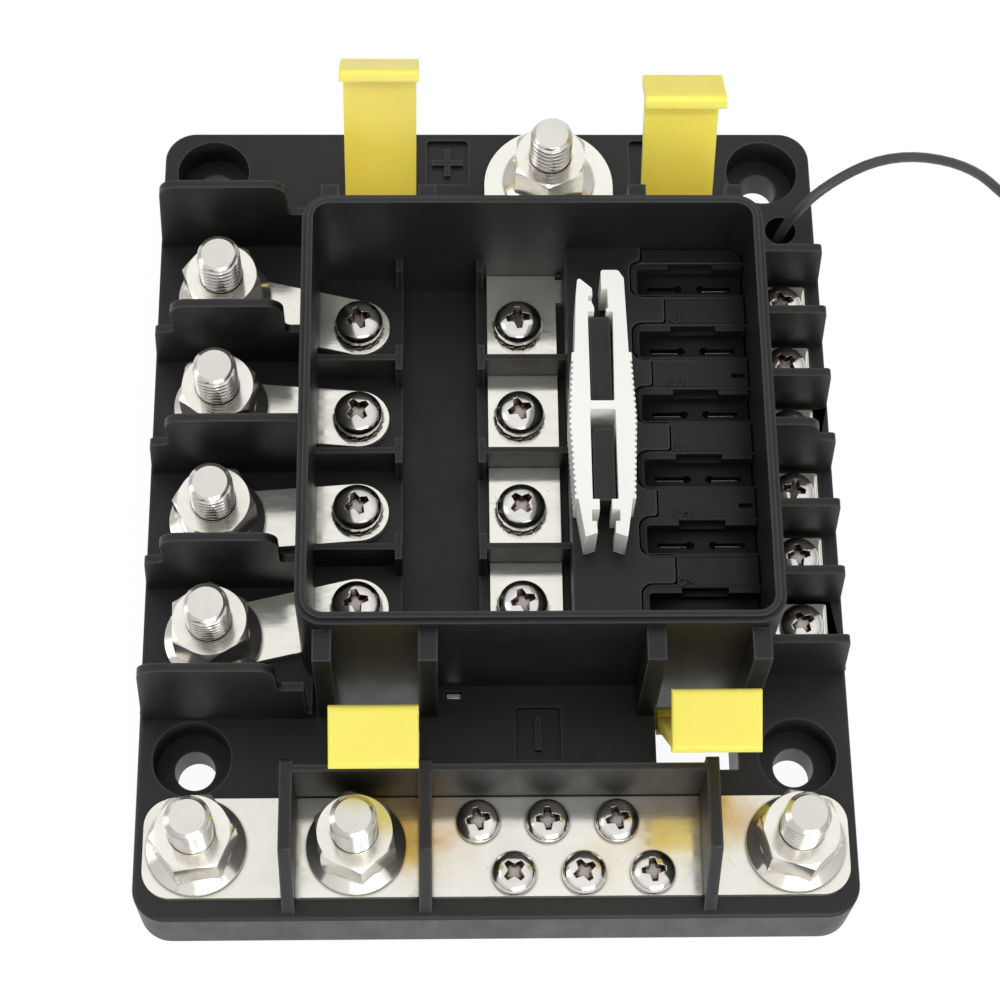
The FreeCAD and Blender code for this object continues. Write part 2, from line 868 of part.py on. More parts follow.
def base_moulding():
    pieces = [plate(), deck(), bay_walls(), puller_pad()]
    pieces += row_ribs()
    pieces += left_dividers()
    pieces += right_dividers()
    pieces += guide_ribs()
    pieces += bus_ribs()
    pieces += puller_posts()
    body = union(pieces)
    cutters = [trough()]
    cutters += latch_openings()
    cutters += marks()
    cutters += lead_openings()
    cutters += terminal_openings()
    cutters += screw_openings()
    cutters += bar_tunnels()
    for x, y, seat_z in stud_places().values():
        cutters += stud_hole(x, y)
    return without(body, cutters).removeSplitter()


def fuse_slot(y):
    half = slot_length / 2
    across = slot_width / 2
    left = slot_centre_x - half
    right = slot_centre_x + half
    recess = rounded_block(left, right, y - across, y + across, slot_floor_z, carrier_top_z, slot_corner_r)
    notch_half = slot_notch_length / 2
    notch = block(slot_centre_x - notch_half, slot_centre_x + notch_half, y, y + across + slot_notch_reach,
                  carrier_top_z - slot_notch_depth, carrier_top_z)
    cutters = [recess, notch]
    slit_half = blade_slit_width / 2
    room = clip_leaf + clip_gap / 2 + clip_room
    for x, inward in ((input_blade_x, 1), (output_blade_x, -1)):
        slit_x = x - blade_slit_length / 2
        top = clip_top_z + clip_room
        cutters.append(block(slit_x, slit_x + blade_slit_length, y - slit_half, y + slit_half, top, slot_floor_z))
        cutters.append(rod(x + inward * blade_slit_length / 2, y, top, slot_floor_z, test_hole_r))
        pocket = clip_length / 2 + clip_room
        cutters.append(block(x - pocket, x + pocket, y - room, y + room, deck_z, top))
    return cutters


def ato_fuse_carrier():
    edge = lobed_edge()
    corners = [(x + carrier_gap, y, r) for x, y, r in edge]
    front = inner_front + carrier_gap
    back = inner_back - carrier_gap
    right = inner_right - carrier_gap
    corners[0] = (corners[0][0], back, 0)
    corners[-1] = (corners[-1][0], front, 0)
    # The lobes shrink on their front and rear sides as well.
    for index in range(1, len(corners) - 1):
        x, y, r = corners[index]
        toward = -carrier_gap if index % 4 in (1, 2) else carrier_gap
        corners[index] = (x, y + toward, r)
    wall_corner_r = bay_corner_r - bay_wall
    corners += [(right, front, wall_corner_r), (right, back, wall_corner_r)]
    body = plan_prism(corners, deck_z, carrier_top_z)
    cutters = []
    for y in blade_ys:
        cutters += fuse_slot(y)
        neck = terminal_neck_width / 2 + metal_gap
        terminal_left = output_blade_x - clip_length / 2 - clip_room
        cutters.append(block(terminal_left, inner_right, y - neck, y + neck, deck_z, terminal_top_z + metal_gap))
    cutters += input_strip_room()
    cutters.append(led_board_room())
    floor_z = carrier_top_z - window_depth
    for index in range(1, blade_count, 2):
        y = blade_ys[index] - blade_pitch / 2
        cutters.append(block(window_x - window_length / 2, window_x + window_length / 2,
                             y - window_width / 2, y + window_width / 2, floor_z, carrier_top_z))
    return without(body, cutters)


def led_board_room():
    left, right, front, back = led_board_edges()
    top = deck_z + led_board_thickness + led_height + metal_gap
    return block(left - metal_gap, right + metal_gap, front - metal_gap, back + metal_gap, deck_z, top)


def led_board_edges():
    left = input_strip_right_x + 2 * metal_gap
    right = left + led_board_width
    return left, right, blade_ys[-1] - led_board_overrun, blade_ys[0] + led_board_overrun


def led_board():
    left, right, front, back = led_board_edges()
    board = block(left, right, front, back, deck_z, deck_z + led_board_thickness)
    base_z = deck_z + led_board_thickness
    middle = (left + right) / 2
    lamps = [rod(middle, y, base_z, base_z + led_height, led_r) for y in blade_ys]
    return union([board] + lamps)


def clip(x, y, base_z):
    half = clip_length / 2
    room = clip_gap / 2
    outer = clip_leaf + room
    body = block(x - half, x + half, y - outer, y + outer, base_z, clip_top_z)
    gap = block(x - half, x + half, y - room, y + room, base_z + clip_leaf, clip_top_z)
    return body.cut(gap)


def ato_input_clips():
    return Part.makeCompound([clip(input_blade_x, y, bar_top_z) for y in blade_ys])


def ato_output_terminal(y):
    inner = output_blade_x - clip_length / 2
    neck = terminal_neck_width / 2
    half = terminal_width / 2
    strip = block(inner, bay_right, y - neck, y + neck, deck_z, terminal_top_z)
    plate_part = block(bay_right, terminal_end_x, y - half, y + half, deck_z, terminal_top_z)
    fold = block(terminal_end_x - terminal_thickness, terminal_end_x, y - half, y + half,
                 terminal_top_z - terminal_fold_drop, terminal_top_z)
    tongue = union([strip, plate_part, fold])
    corner = [edge for edge in tongue.Edges
              if edge.BoundBox.XMin > terminal_end_x - 1e-3 and edge.BoundBox.ZMin > terminal_top_z - 1e-3]
    tongue = tongue.makeFillet(terminal_thickness * 0.8, corner)
    hole = rod(terminal_screw_x, y + terminal_screw_offset_y, deck_z, terminal_top_z, small_screw_r + thread_gap)
    tongue = tongue.cut(hole)
    return union([tongue, clip(output_blade_x, y, terminal_top_z - clip_leaf)])


def positive_bus_bar():
    inner = block(positive_bar_left_x, positive_bar_right_x, positive_bar_front_y, inner_back, deck_z, bar_top_z)
    lug = block(positive_bar_left_x, input_strip_right_x, input_lug_front_y, input_lug_back_y, deck_z, bar_top_z)
    strip_front = blade_ys[-1] - clip_length / 2
    strip = block(input_strip_left_x, input_strip_right_x, strip_front, input_lug_back_y, deck_z, bar_top_z)
    body = union([inner, positive_tongue(positive_tongue_r, deck_z, bar_top_z), lug, strip])
    holes = [rod(right_fuse_screw_x, y, deck_z, bar_top_z, fuse_screw_r + thread_gap) for y in fuse_row_ys]
    holes.append(rod(positive_tongue_centre_x, positive_stud_y, deck_z, bar_top_z, stud_r + metal_gap))
    # The positive stud stands a little behind the centre of the tongue's round end.
    return without(body, holes)


def negative_bus_bar():
    body = negative_bar_shape(0, plate_thickness, negative_bar_top_z)
    holes = [rod(x, y, plate_thickness, negative_bar_top_z, small_screw_r + thread_gap)
             for x, y in negative_screw_places()]
    for x in negative_stud_xs:
        holes.append(rod(x, negative_bar_y, plate_thickness, negative_bar_top_z, stud_r + metal_gap))
    return without(body, holes)


def output_strap(index):
    start = (output_stud_x, output_stud_ys[index])
    end = (left_fuse_screw_x, fuse_row_ys[index])
    body = link(start, end, strap_width / 2, deck_z, bar_top_z)
    holes = [
        rod(start[0], start[1], deck_z, bar_top_z, stud_r + metal_gap),
        rod(end[0], end[1], deck_z, bar_top_z, fuse_screw_r + thread_gap),
    ]
    return without(body, holes)


def puller_outline():
    # Offsets from the puller's centre line and from the bay's centre, each with its rounding radius.
    widest = puller_half_width
    left = [
        (-widest + 0.7, puller_grip_front, 0.2),
        (-widest, puller_grip_middle, puller_grip_r),
        (-widest + 0.8, puller_grip_rear, 0.2),
        (-4.8, puller_grip_rear, 0.1),
        (-4.3, 24.8, 0.3),
        (-3.9, 29.0, 0.4),
        (-1.3, 26.6, 0.5),
        (-1.25, 25.2, 0),
        (-2.0, 25.1, 0),
        (-2.0, 24.0, 0),
        (-1.5, 24.0, 0.2),
        (-1.0, 22.6, 0.2),
        (-1.0, puller_slot_rear, 0),
        (-2.2, puller_slot_rear, 0.2),
        (-2.15, puller_bar_back, 0.3),
    ]
    right = [
        (2.15, puller_bar_back, 0.3),
        (2.4, puller_slot_rear, 0.2),
        (1.2, puller_slot_rear, 0),
        (1.2, 22.8, 0.2),
        (1.6, 22.4, 0),
        (1.5, 26.5, 0),
        (0.4, 26.5, 0),
        (0.4, puller_rear_end, 0.5),
        (3.6, puller_rear_end, 0.8),
        (4.6, 28.7, 0.4),
        (5.0, puller_grip_rear, 0.1),
        (widest - 0.6, puller_grip_rear, 0.2),
        (widest, puller_grip_middle, puller_grip_r),
        (widest - 0.7, puller_grip_front, 0.2),
    ]
    front_right = [
        (widest - 1.3, puller_grip_front, 0.1),
        (3.7, puller_front_end, 0.3),
        (1.6, -24.3, 0.3),
        (1.7, -19.7, 0),
        (2.5, -19.7, 0),
        (2.5, puller_slot_front - 2.0, 0),
        (1.1, puller_slot_front - 2.0, 0),
        (1.1, puller_slot_front, 0),
        (2.3, puller_slot_front, 0.2),
        (2.3, puller_bar_front, 0.3),
    ]
    front_left = [(-a, b, r) for a, b, r in reversed(front_right)]
    offsets = left + right + front_right + front_left
    return [(puller_centre_x + a, block_centre_y + b, r) for a, b, r in offsets]


def puller_grooves(body, low, high):
    # Grooves across the two gripping edges, which leave the teeth between them.
    cutters = []
    count = int((puller_grip_rear - puller_grip_front) / tooth_pitch)
    for index in range(1, count):
        y = block_centre_y + puller_grip_front + tooth_pitch * index
        line = Part.makeLine(vec(0, y, high - 1), vec(half_width, y, high - 1))
        chord = body.common(line).BoundBox
        for x in (chord.XMin, chord.XMax):
            square = block(x - tooth_depth, x + tooth_depth, y - tooth_depth, y + tooth_depth, low, high)
            square.rotate(vec(x, y, 0), vec(0, 0, 1), 45)
            cutters.append(square)
    return cutters


def fuse_puller():
    low = carrier_top_z + puller_lift
    high = low + puller_height
    body = plan_prism(puller_outline(), low, high)
    return without(body, puller_grooves(body, low, high))


def latch(place):
    x, y, outward = latch_places()[place]
    half = latch_thickness / 2
    top = latch_length
    under = top - latch_thickness
    tip = -half - latch_hook_reach
    profile = [
        (-half, 0, 0),
        (half, 0, 0),
        (half, top, 1.4),
        (tip, top, 0.9),
        (tip, under - latch_lip_drop, 0.4),
        (tip + latch_lip_width, under - latch_lip_drop, 0.4),
        (tip + latch_lip_width, under, 0.3),
        (-half, under, 1.2),
    ]
    side = side_prism_x(profile, -latch_hook_half_width, latch_hook_half_width)
    shoulder = under - latch_lip_drop
    front_outline = [
        (-latch_foot_half_width, 0, 0),
        (latch_foot_half_width, 0, 0),
        (latch_top_half_width, shoulder, 0),
        (latch_hook_half_width, shoulder, 0.3),
        (latch_hook_half_width, top, 0.5),
        (-latch_hook_half_width, top, 0.5),
        (-latch_hook_half_width, shoulder, 0.3),
        (-latch_top_half_width, shoulder, 0),
    ]
    reach = latch_hook_reach + latch_thickness
    front = side_prism_y(front_outline, -reach, reach)
    axis = vec(1, 0, 0)
    foot = latch_foot_half_width
    barrel = Part.makeCylinder(latch_barrel_r, 2 * foot, vec(-foot, 0, 0), axis)
    pin_half = foot + latch_pin_reach
    pin = Part.makeCylinder(latch_pin_r, 2 * pin_half, vec(-pin_half, 0, 0), axis)
    body = union([side.common(front), barrel, pin])
    if outward < 0:
        body.rotate(vec(0, 0, 0), vec(0, 0, 1), 180)
    body.rotate(vec(0, 0, 0), axis, -outward * latch_lean[place])
    body.translate(vec(x, y, latch_hinge_z))
    return body


def lead_tube():
    points = [vec(*point) for point in lead_route]
    edges = []
    start = points[0]
    for index in range(1, len(points) - 1):
        corner = points[index]
        before = points[index - 1].sub(corner)
        after = points[index + 1].sub(corner)
        shorter = min(before.Length, after.Length)
        before.normalize()
        after.normalize()
        half_angle = before.getAngle(after) / 2
        reach = 0.45 * shorter
        radius = reach * math.tan(half_angle)
        print("lead bend %d radius %.1f" % (index, radius))
        first = corner + before * reach
        last = corner + after * reach
        middle_line = before + after
        middle_line.normalize()
        middle = corner + middle_line * (radius / math.sin(half_angle) - radius)
        edges.append(Part.LineSegment(start, first).toShape())
        edges.append(Part.Arc(first, middle, last).toShape())
        start = last
    edges.append(Part.LineSegment(start, points[-1]).toShape())
    path = Part.Wire(edges)
    first_run = points[1].sub(points[0])
    section = Part.Wire([Part.makeCircle(lead_r, points[0], first_run)])
    tube = path.makePipeShell([section], True, False, 2)
    expected = math.pi * lead_r ** 2 * path.Length
    print("lead length %.1f volume share %.4f" % (path.Length, tube.Volume / expected))
    return tube


def lead_coil():
    x, y = coil_centre
    outer = rod(x, y, 0, coil_height, coil_mean_r + coil_band / 2)
    inner = rod(x, y, 0, coil_height, coil_mean_r - coil_band / 2)
    return outer.cut(inner)


def lead_end():
    # The bare strands leave the coil's inner turn and point inward.
    x, y = coil_centre
    angle = math.radians(lead_end_angle)
    slant = math.radians(lead_end_slant)
    outward = vec(math.cos(angle), math.sin(angle))
    onward = vec(math.sin(angle), -math.cos(angle))
    start = vec(x, y, lead_r) + outward * lead_end_start_r
    direction = onward * math.cos(slant) - outward * math.sin(slant)
    return Part.makeCylinder(lead_end_r, lead_end_length, start, direction)


def export(name, shape):
    problems = [] if shape.isValid() else ["not valid"]
    print("%s solids %d volume %.1f %s" % (name, len(shape.Solids), shape.Volume, " ".join(problems)))
    shape.exportStep("parts/%s.step" % name)


def main():
    os.makedirs("parts", exist_ok=True)
    export("base_moulding", base_moulding())
    export("ato_fuse_carrier", ato_fuse_carrier())
    export("fuse_puller", fuse_puller())
    export("led_board", led_board())
    export("ato_input_clips", ato_input_clips())
    export("positive_bus_bar", positive_bus_bar())
    export("negative_bus_bar", negative_bus_bar())
    for index in range(output_count):
        export("output_strap_%d" % (index + 1), output_strap(index))
    for index, y in enumerate(blade_ys):
        export("ato_output_terminal_%d" % (index + 1), ato_output_terminal(y))
    for name, (x, y, seat_z) in stud_places().items():
        kind, _, number = name.partition("_")
        tail = "_" + number if number else ""
        export(kind + "_stud" + tail, stud(x, y, seat_z, stud_rise[kind]))
        export(kind + "_nut" + tail, flange_nut(x, y, seat_z, nut_turns[name]))
    washer_top = bar_top_z + lock_washer_thickness
    for name, x in (("left", left_fuse_screw_x), ("right", right_fuse_screw_x)):
        screws = [pan_head_screw(x, y, washer_top, fuse_screw_r, fuse_screw_head_r,
                                 fuse_screw_head_height, fuse_screw_length) for y in fuse_row_ys]
        washers = [toothed_washer(x, y, bar_top_z) for y in fuse_row_ys]
        export("fuse_screws_" + name, Part.makeCompound(screws))
        export("lock_washers_" + name, Part.makeCompound(washers))
    bus_screws = [pan_head_screw(x, y, negative_bar_top_z, small_screw_r, small_screw_head_r,
                                 small_screw_head_height, small_screw_length) for x, y in negative_screw_places()]
    export("negative_bus_screws", Part.makeCompound(bus_screws))
    terminal_screws = [pan_head_screw(terminal_screw_x, y + terminal_screw_offset_y, terminal_top_z,
                                      small_screw_r, small_screw_head_r,
                                      small_screw_head_height, small_screw_length) for y in blade_ys]
    export("terminal_screws", Part.makeCompound(terminal_screws))
    for place in latch_places():
        export("latch_" + place, latch(place))
    export("ground_lead", lead_tube())
    export("ground_lead_coil", lead_coil())
    export("ground_lead_end", lead_end())


main()
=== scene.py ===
import json
import math

import bmesh
import bpy
from mathutils import Matrix, Vector


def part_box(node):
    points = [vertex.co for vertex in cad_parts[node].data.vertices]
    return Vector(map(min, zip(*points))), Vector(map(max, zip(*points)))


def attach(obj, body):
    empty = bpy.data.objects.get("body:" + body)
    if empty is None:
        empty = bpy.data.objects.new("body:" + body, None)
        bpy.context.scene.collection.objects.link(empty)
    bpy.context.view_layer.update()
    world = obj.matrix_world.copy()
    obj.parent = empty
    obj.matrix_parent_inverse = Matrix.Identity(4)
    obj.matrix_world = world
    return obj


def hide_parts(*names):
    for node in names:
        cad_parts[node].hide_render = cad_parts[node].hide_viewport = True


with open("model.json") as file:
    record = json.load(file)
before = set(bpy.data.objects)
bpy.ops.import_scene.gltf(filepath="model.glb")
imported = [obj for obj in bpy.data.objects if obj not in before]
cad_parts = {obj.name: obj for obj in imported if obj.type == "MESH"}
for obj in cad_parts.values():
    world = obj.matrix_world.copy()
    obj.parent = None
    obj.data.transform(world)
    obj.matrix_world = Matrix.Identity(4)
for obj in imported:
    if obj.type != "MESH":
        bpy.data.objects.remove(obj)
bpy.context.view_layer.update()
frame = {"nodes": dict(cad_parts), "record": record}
NODES = frame["nodes"]

# The part's lengths are named in millimetres, and this turns them into the frame's metres
MM = 0.001

# Camera in metres and radians, from the photograph's perspective
CAMERA_PLACE = (-0.0104, -0.2013, 0.4470)
CAMERA_LENS = 91.61
CAMERA_TURNS = (-0.415516, 0.027266, 0.014174)
CAMERA_SENSOR = 36.0
CAMERA_NEAR = 0.01
CAMERA_FAR = 50.0


# Shader nodes


def new_material(name):
    material = bpy.data.materials.new(name)
    material.use_nodes = True
    tree = material.node_tree
    return material, tree, tree.nodes["Principled BSDF"]


def node(tree, kind, **settings):
    made = tree.nodes.new(kind)
    for key, value in settings.items():
        setattr(made, key, value)
    return made


def set_inputs(made, values):
    for name, value in values.items():
        made.inputs[name].default_value = value


def link(tree, source, socket, target, name):
    tree.links.new(source.outputs[socket], target.inputs[name])


def calculate(tree, operation, *values):
    # A math node. Each value is a number, or a node with the name of its socket.
    made = node(tree, "ShaderNodeMath", operation=operation)
    for index, value in enumerate(values):
        if isinstance(value, tuple):
            source, socket = value
            link(tree, source, socket, made, index)
        else:
            made.inputs[index].default_value = value
    return made


def place(tree, stretch=(1, 1, 1)):
    coordinates = node(tree, "ShaderNodeTexCoord")
    mapping = node(tree, "ShaderNodeMapping")
    mapping.inputs["Scale"].default_value = stretch
    link(tree, coordinates, "Object", mapping, "Vector")
    return mapping


def noise(tree, scale, detail, rough, distortion=0.0, stretch=(1, 1, 1)):
    made = node(tree, "ShaderNodeTexNoise")
    set_inputs(made, {"Scale": scale, "Detail": detail, "Roughness": rough, "Distortion": distortion})
    link(tree, place(tree, stretch), "Vector", made, "Vector")
    return made


def with_alpha(colour):
    return colour if len(colour) == 4 else (*colour, 1)


def grey(value):
    return (value, value, value, 1)


def ramp(tree, source, socket, stops):
    made = node(tree, "ShaderNodeValToRGB")
    elements = made.color_ramp.elements
    while len(elements) < len(stops):
        elements.new(0.5)
    for element, (position, colour) in zip(elements, stops):
        element.position = position
        element.color = with_alpha(colour)
    link(tree, source, socket, made, "Fac")
    return made


def remap(tree, source, socket, before, after=(0.0, 1.0)):
    made = node(tree, "ShaderNodeMapRange")
    low, high = before
    to_low, to_high = after
    set_inputs(made, {"From Min": low, "From Max": high, "To Min": to_low, "To Max": to_high})
    link(tree, source, socket, made, "Value")
    return made


def mix_colours(tree, factor, socket, first, second, blend="MIX"):
    made = node(tree, "ShaderNodeMixRGB", blend_type=blend)
    if isinstance(factor, float):
        made.inputs["Fac"].default_value = factor
    else:
        link(tree, factor, socket, made, "Fac")
    for name, value in (("Color1", first), ("Color2", second)):
        if isinstance(value, tuple):
            made.inputs[name].default_value = with_alpha(value)
        else:
            link(tree, value, "Color", made, name)
    return made


def bump(tree, shader, source, socket, distance, after=None):
    made = node(tree, "ShaderNodeBump")
    set_inputs(made, {"Distance": distance, "Strength": 1.0})
    link(tree, source, socket, made, "Height")
    if after is not None:
        link(tree, after, "Normal", made, "Normal")
    link(tree, made, "Normal", shader, "Normal")
    return made


def occlusion(tree, reach, inside=False, local=False):
    made = node(tree, "ShaderNodeAmbientOcclusion", inside=inside, only_local=local, samples=6)
    made.inputs["Distance"].default_value = reach * MM
    return made


# Kinds of material. Depths and scales of their patterns are in metres, reaches in millimetres.

# Between these heights the foot's painted shade fades in
FOOT_SHADE_HEIGHTS = (0.037, 0.014)
FINISH_SPREAD = 0.07
RECESS_DULLING = 0.45


def plastic(name, dark, pale, rough, grain, grain_depth, specular=0.5, streak_depth=0.0, edge=None,
            recess_shade=None, foot_shade=None):
    material, tree, shader = new_material(name)
    shader.inputs["Specular IOR Level"].default_value = specular
    coarse = noise(tree, scale=60.0, detail=5.0, rough=0.6)
    colour = ramp(tree, coarse, "Fac", [(0.3, dark), (0.7, pale)])
    if foot_shade is not None:
        # Painted shade: low down the colour grows a deeper orange, as in thin plastic that less light comes
        # through.
        height = node(tree, "ShaderNodeSeparateXYZ")
        link(tree, place(tree), "Vector", height, "Vector")
        low = remap(tree, height, "Z", FOOT_SHADE_HEIGHTS)
        colour = mix_colours(tree, low, "Result", colour, foot_shade)
    if edge is not None:
        # Painted highlight on the edges: seen from within, only the solid near an edge has a surface close
        # by, and there the colour is lighter.
        edge_highlight = remap(tree, occlusion(tree, reach=0.5, inside=True, local=True), "AO", (0.95, 0.5))
        colour = mix_colours(tree, edge_highlight, "Result", colour, edge)
    cloudy = noise(tree, scale=220.0, detail=6.0, rough=0.65, stretch=(1, 1, 0.35))
    roughness = remap(tree, cloudy, "Fac", (0.25, 0.75), (rough - FINISH_SPREAD, rough + FINISH_SPREAD))
    finish = (roughness, "Result")
    if recess_shade is not None:
        # Painted shade: narrow recesses are darker in colour, and also duller.
        painted_recess_shade = remap(tree, occlusion(tree, reach=5.0), "AO", (0.95, 0.55))
        colour = mix_colours(tree, painted_recess_shade, "Result", colour, recess_shade)
        duller = calculate(tree, "MULTIPLY_ADD", (painted_recess_shade, "Result"), RECESS_DULLING, finish)
        finish = (duller, "Value")
    link(tree, colour, "Color", shader, "Base Color")
    link(tree, *finish, shader, "Roughness")
    fine = noise(tree, scale=grain, detail=3.0, rough=0.6)
    first = bump(tree, shader, fine, "Fac", grain_depth)
    if streak_depth:
        drawn = noise(tree, scale=900.0, detail=3.0, rough=0.5, stretch=(1, 1, 0.05))
        bump(tree, shader, drawn, "Fac", streak_depth, first)
    return material


def metal(name, dark, pale, rough, scratch_stretch, scratch_depth, cloud=45.0, stain=None, stain_from=0.6,
          shade_and_grime=None, shade_and_grime_reach=1.0, shade_and_grime_local=False, metallic=1.0, specks=None):
    material, tree, shader = new_material(name)
    shader.inputs["Metallic"].default_value = metallic
    clouds = noise(tree, scale=cloud, detail=6.0, rough=0.62, distortion=0.6)
    colour = ramp(tree, clouds, "Fac", [(0.32, dark), (0.68, pale)])
    fine = noise(tree, scale=160.0, detail=5.0, rough=0.7, stretch=scratch_stretch)
    if specks is not None:
        dots = noise(tree, scale=1400.0, detail=2.0, rough=0.5)
        few = ramp(tree, dots, "Fac", [(0.70, grey(0)), (0.78, grey(1))])
        colour = mix_colours(tree, few, "Color", colour, specks)
    if stain is not None:
        spots = noise(tree, scale=95.0, detail=7.0, rough=0.7, distortion=0.9)
        mask = ramp(tree, spots, "Fac", [(stain_from, grey(0)), (stain_from + 0.14, grey(1))])
        colour = mix_colours(tree, mask, "Color", colour, stain)
    if shade_and_grime is not None:
        # Painted shade and grime: the colour darkens in corners and recesses, where other surfaces come
        # close.
        corners = remap(tree, occlusion(tree, shade_and_grime_reach, local=shade_and_grime_local), "AO", (0.88, 0.35))
        colour = mix_colours(tree, corners, "Result", colour, shade_and_grime)
    link(tree, colour, "Color", shader, "Base Color")
    roughness = remap(tree, fine, "Fac", (0.3, 0.75), (rough - 0.07, rough + 0.12))
    link(tree, roughness, "Result", shader, "Roughness")
    bump(tree, shader, fine, "Fac", scratch_depth)
    return material


def spot_mask(tree, centre, inner, outer):
    # One near a point on the part, falling to nothing at the outer distance.
    coordinates = node(tree, "ShaderNodeTexCoord")
    distance = node(tree, "ShaderNodeVectorMath", operation="DISTANCE")
    link(tree, coordinates, "Object", distance, 0)
    distance.inputs[1].default_value = [value * MM for value in centre]
    return remap(tree, distance, "Value", (inner * MM, outer * MM), (1.0, 0.0))


def tarnish(material, places, stain):
    # Broken stains, each round a point on the part: tarnish, and in part a painted reflection of the yellow
    # latches.
    tree = material.node_tree
    shader = tree.nodes["Principled BSDF"]
    colour = shader.inputs["Base Color"].links[0].from_node
    cloud = noise(tree, scale=130.0, detail=6.0, rough=0.6, distortion=0.5)
    broken = remap(tree, cloud, "Fac", (0.3, 0.6), (0.25, 1.0))
    for centre, inner, outer, strength in places:
        spot = spot_mask(tree, centre, inner, outer)
        both = calculate(tree, "MULTIPLY", (spot, "Result"), (broken, "Result"))
        weaker = calculate(tree, "MULTIPLY", (both, "Value"), strength)
        colour = mix_colours(tree, weaker, "Value", colour, stain)
    link(tree, colour, "Color", shader, "Base Color")


# Plastics of the part

# Its lighter edge colour is a painted highlight.
BLACK = plastic(
    "satin_black", dark=(0.0085, 0.0085, 0.0083), pale=(0.0140, 0.0140, 0.0137), rough=0.44,
    grain=2600.0, grain_depth=0.00002, specular=0.38, streak_depth=0.00001, edge=(0.045, 0.045, 0.047))
# Its lighter edge colour is a painted highlight, and its recess colour a painted shade.
CARRIER_BLACK = plastic(
    "carrier_black", dark=(0.0065, 0.007, 0.0062), pale=(0.0105, 0.011, 0.010), rough=0.43,
    grain=2600.0, grain_depth=0.00002, specular=0.34, edge=(0.016, 0.016, 0.0155),
    recess_shade=(0.0012, 0.0012, 0.0012))
WHITE = plastic(
    "white_moulding", dark=(0.85, 0.845, 0.80), pale=(0.90, 0.895, 0.85), rough=0.42,
    grain=1800.0, grain_depth=0.000012)
# Its foot colour is a painted shade: a deeper orange low down.
YELLOW = plastic(
    "yellow_moulding", dark=(0.84, 0.695, 0.108), pale=(0.86, 0.72, 0.13), rough=0.36,
    grain=1700.0, grain_depth=0.000012, foot_shade=(1.0, 0.67, 0.07))
set_inputs(YELLOW.node_tree.nodes["Principled BSDF"], {
    "Subsurface Weight": 0.6, "Subsurface Radius": (1.0, 0.6, 0.12), "Subsurface Scale": 0.006})
LEAD_BLACK = plastic(
    "lead_insulation", dark=(0.036, 0.036, 0.037), pale=(0.056, 0.056, 0.057), rough=0.4,
    grain=1500.0, grain_depth=0.00001)
BOARD = plastic(
    "circuit_board", dark=(0.02, 0.10, 0.04), pale=(0.03, 0.14, 0.06), rough=0.4,
    grain=900.0, grain_depth=0.00001)

# Metals of the part

# Colours of the painted shade and grime in corners and recesses
PALE_SHADE_AND_GRIME = (0.09, 0.065, 0.045)
BROWN_SHADE_AND_GRIME = (0.07, 0.042, 0.028)
RECESS_SHADE_AND_GRIME = (0.075, 0.030, 0.015)
TIN_STAIN = (0.56, 0.53, 0.45)
TIN_SPECKS = (0.55, 0.51, 0.44)
BUS_TARNISH_AND_REFLECTION = (0.66, 0.40, 0.12)
# Where the bus bar is stained, partly tarnish and partly a painted reflection of the yellow latches: centre,
# inner and outer distance, and strength
BUS_TARNISH_AND_REFLECTION_SPOTS = [
    ((-17.0, -71.0, 15.6), 4.0, 13.0, 1.0),
    ((29.0, -73.0, 15.6), 2.0, 9.0, 0.55),
    ((40.5, -71.5, 15.6), 1.0, 8.0, 1.0),
    ((-10.5, -76.0, 15.6), 1.0, 9.0, 0.5),
    ((18.0, -80.0, 15.6), 2.0, 7.0, 0.25),
]

TIN = metal(
    "tin_plate", dark=(0.88, 0.86, 0.78), pale=(0.96, 0.945, 0.87), rough=0.13,
    scratch_stretch=(0.5, 3.0, 1.0), scratch_depth=0.000008, cloud=55.0, stain=TIN_STAIN, stain_from=0.64,
    shade_and_grime=PALE_SHADE_AND_GRIME, shade_and_grime_reach=0.7, metallic=0.85, specks=TIN_SPECKS)
BUS = metal(
    "bus_bar_tin", dark=(0.82, 0.80, 0.72), pale=(0.91, 0.895, 0.82), rough=0.14,
    scratch_stretch=(0.3, 2.2, 1.0), scratch_depth=0.00001, cloud=70.0, stain=TIN_STAIN, stain_from=0.63,
    shade_and_grime=PALE_SHADE_AND_GRIME, shade_and_grime_reach=0.7, metallic=0.85, specks=TIN_SPECKS)
tarnish(BUS, BUS_TARNISH_AND_REFLECTION_SPOTS, BUS_TARNISH_AND_REFLECTION)
STUD = metal(
    "stud_steel", dark=(0.68, 0.665, 0.61), pale=(0.78, 0.765, 0.71), rough=0.20,
    scratch_stretch=(1, 1, 4.0), scratch_depth=0.000008, shade_and_grime=BROWN_SHADE_AND_GRIME, shade_and_grime_reach=0.9, metallic=0.9)
NUT = metal(
    "nut_steel", dark=(0.84, 0.81, 0.74), pale=(0.95, 0.92, 0.85), rough=0.15,
    scratch_stretch=(1, 1, 1), scratch_depth=0.000012, cloud=120.0, stain=(0.52, 0.45, 0.36),
    stain_from=0.68, shade_and_grime=BROWN_SHADE_AND_GRIME, shade_and_grime_reach=0.8, metallic=0.9)
